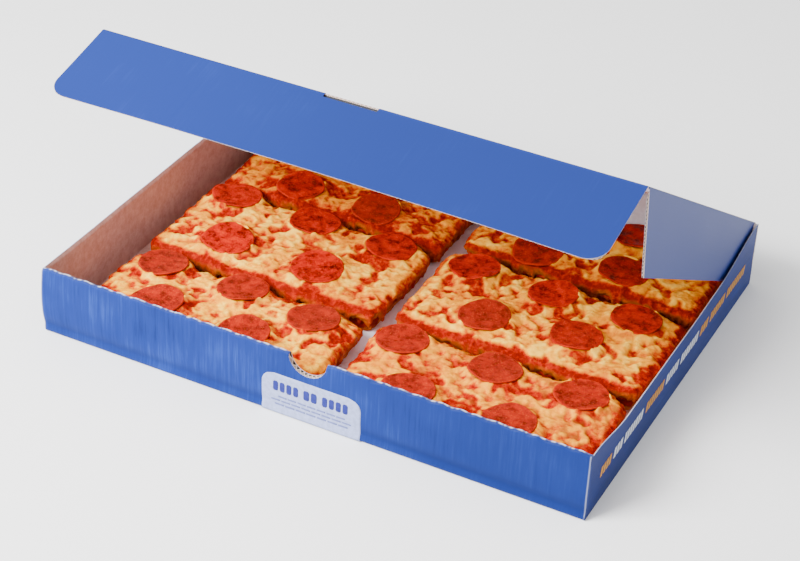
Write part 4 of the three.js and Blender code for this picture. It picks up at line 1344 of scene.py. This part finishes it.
class BOXEDPIZZA_OT_slices(bpy.types.Operator):
    """Makes each slice's dough, sauce and cheese"""

    bl_idname = "boxed_pizza.slices"
    bl_label = "Slices"

    def execute(self, context):
        crust = finish("pan_baked_dough", baked_crust)
        sauce = finish("cooked_tomato_sauce", tomato_sauce)
        cheese = finish("melted_mozzarella", melted_cheese)
        for name in SLICES:
            part = Slice(name)
            add_crust(part, crust)
            add_sauce(part, sauce)
            add_cheese(part, context.scene.boxed_pizza_pizza, cheese)
        return {"FINISHED"}


class BOXEDPIZZA_OT_pepperoni(bpy.types.Operator):
    """Makes the thirty slices of pepperoni"""

    bl_idname = "boxed_pizza.pepperoni"
    bl_label = "Pepperoni"

    def execute(self, context):
        red = context.scene.boxed_pizza_pizza.pepperoni_red
        material = finish("dry_cured_pepperoni", cured_sausage, red)
        for name in SLICES:
            part = Slice(name)
            for number, disc in enumerate(part.discs):
                add_pepperoni(disc, part.seed + 60 + 3 * number, material)
        return {"FINISHED"}


class BOXEDPIZZA_OT_stage(bpy.types.Operator):
    """Makes the floor, the lights and the camera"""

    bl_idname = "boxed_pizza.stage"
    bl_label = "Stage"

    def execute(self, context):
        settings = context.scene.boxed_pizza_studio
        make_camera(settings)
        make_stage(settings)
        return {"FINISHED"}


class BOXEDPIZZA_PT_panel(bpy.types.Panel):
    """Lists the pieces and their settings"""

    bl_label = "Boxed Pizza"
    bl_space_type = "VIEW_3D"
    bl_region_type = "UI"
    bl_category = "Boxed Pizza"

    def draw(self, context):
        for operator in OPERATORS:
            self.layout.operator(operator.bl_idname)
        for group in SETTINGS:
            settings = getattr(context.scene, group)
            for name in settings.bl_rna.properties.keys():
                if name not in ("rna_type", "name"):
                    self.layout.prop(settings, name)


OPERATORS = [
    BOXEDPIZZA_OT_tray,
    BOXEDPIZZA_OT_lid,
    BOXEDPIZZA_OT_slices,
    BOXEDPIZZA_OT_pepperoni,
    BOXEDPIZZA_OT_stage,
]
SETTINGS = {
    "boxed_pizza_box": BoxSettings,
    "boxed_pizza_pizza": PizzaSettings,
    "boxed_pizza_studio": StudioSettings,
}


def register():
    """Registers the settings, the operators and the panel."""
    for name, group in SETTINGS.items():
        bpy.utils.register_class(group)
        setattr(bpy.types.Scene, name, PointerProperty(type=group))
    for item in [*OPERATORS, BOXEDPIZZA_PT_panel]:
        bpy.utils.register_class(item)


def unregister():
    """Takes away what register added."""
    for item in [BOXEDPIZZA_PT_panel, *OPERATORS[::-1]]:
        bpy.utils.unregister_class(item)
    for name, group in SETTINGS.items():
        delattr(bpy.types.Scene, name)
        bpy.utils.unregister_class(group)


def main():
    """Makes every piece in order."""
    register()
    bpy.ops.boxed_pizza.tray()
    bpy.ops.boxed_pizza.lid()
    bpy.ops.boxed_pizza.slices()
    bpy.ops.boxed_pizza.pepperoni()
    bpy.ops.boxed_pizza.stage()


if __name__ == "__main__":
    main()
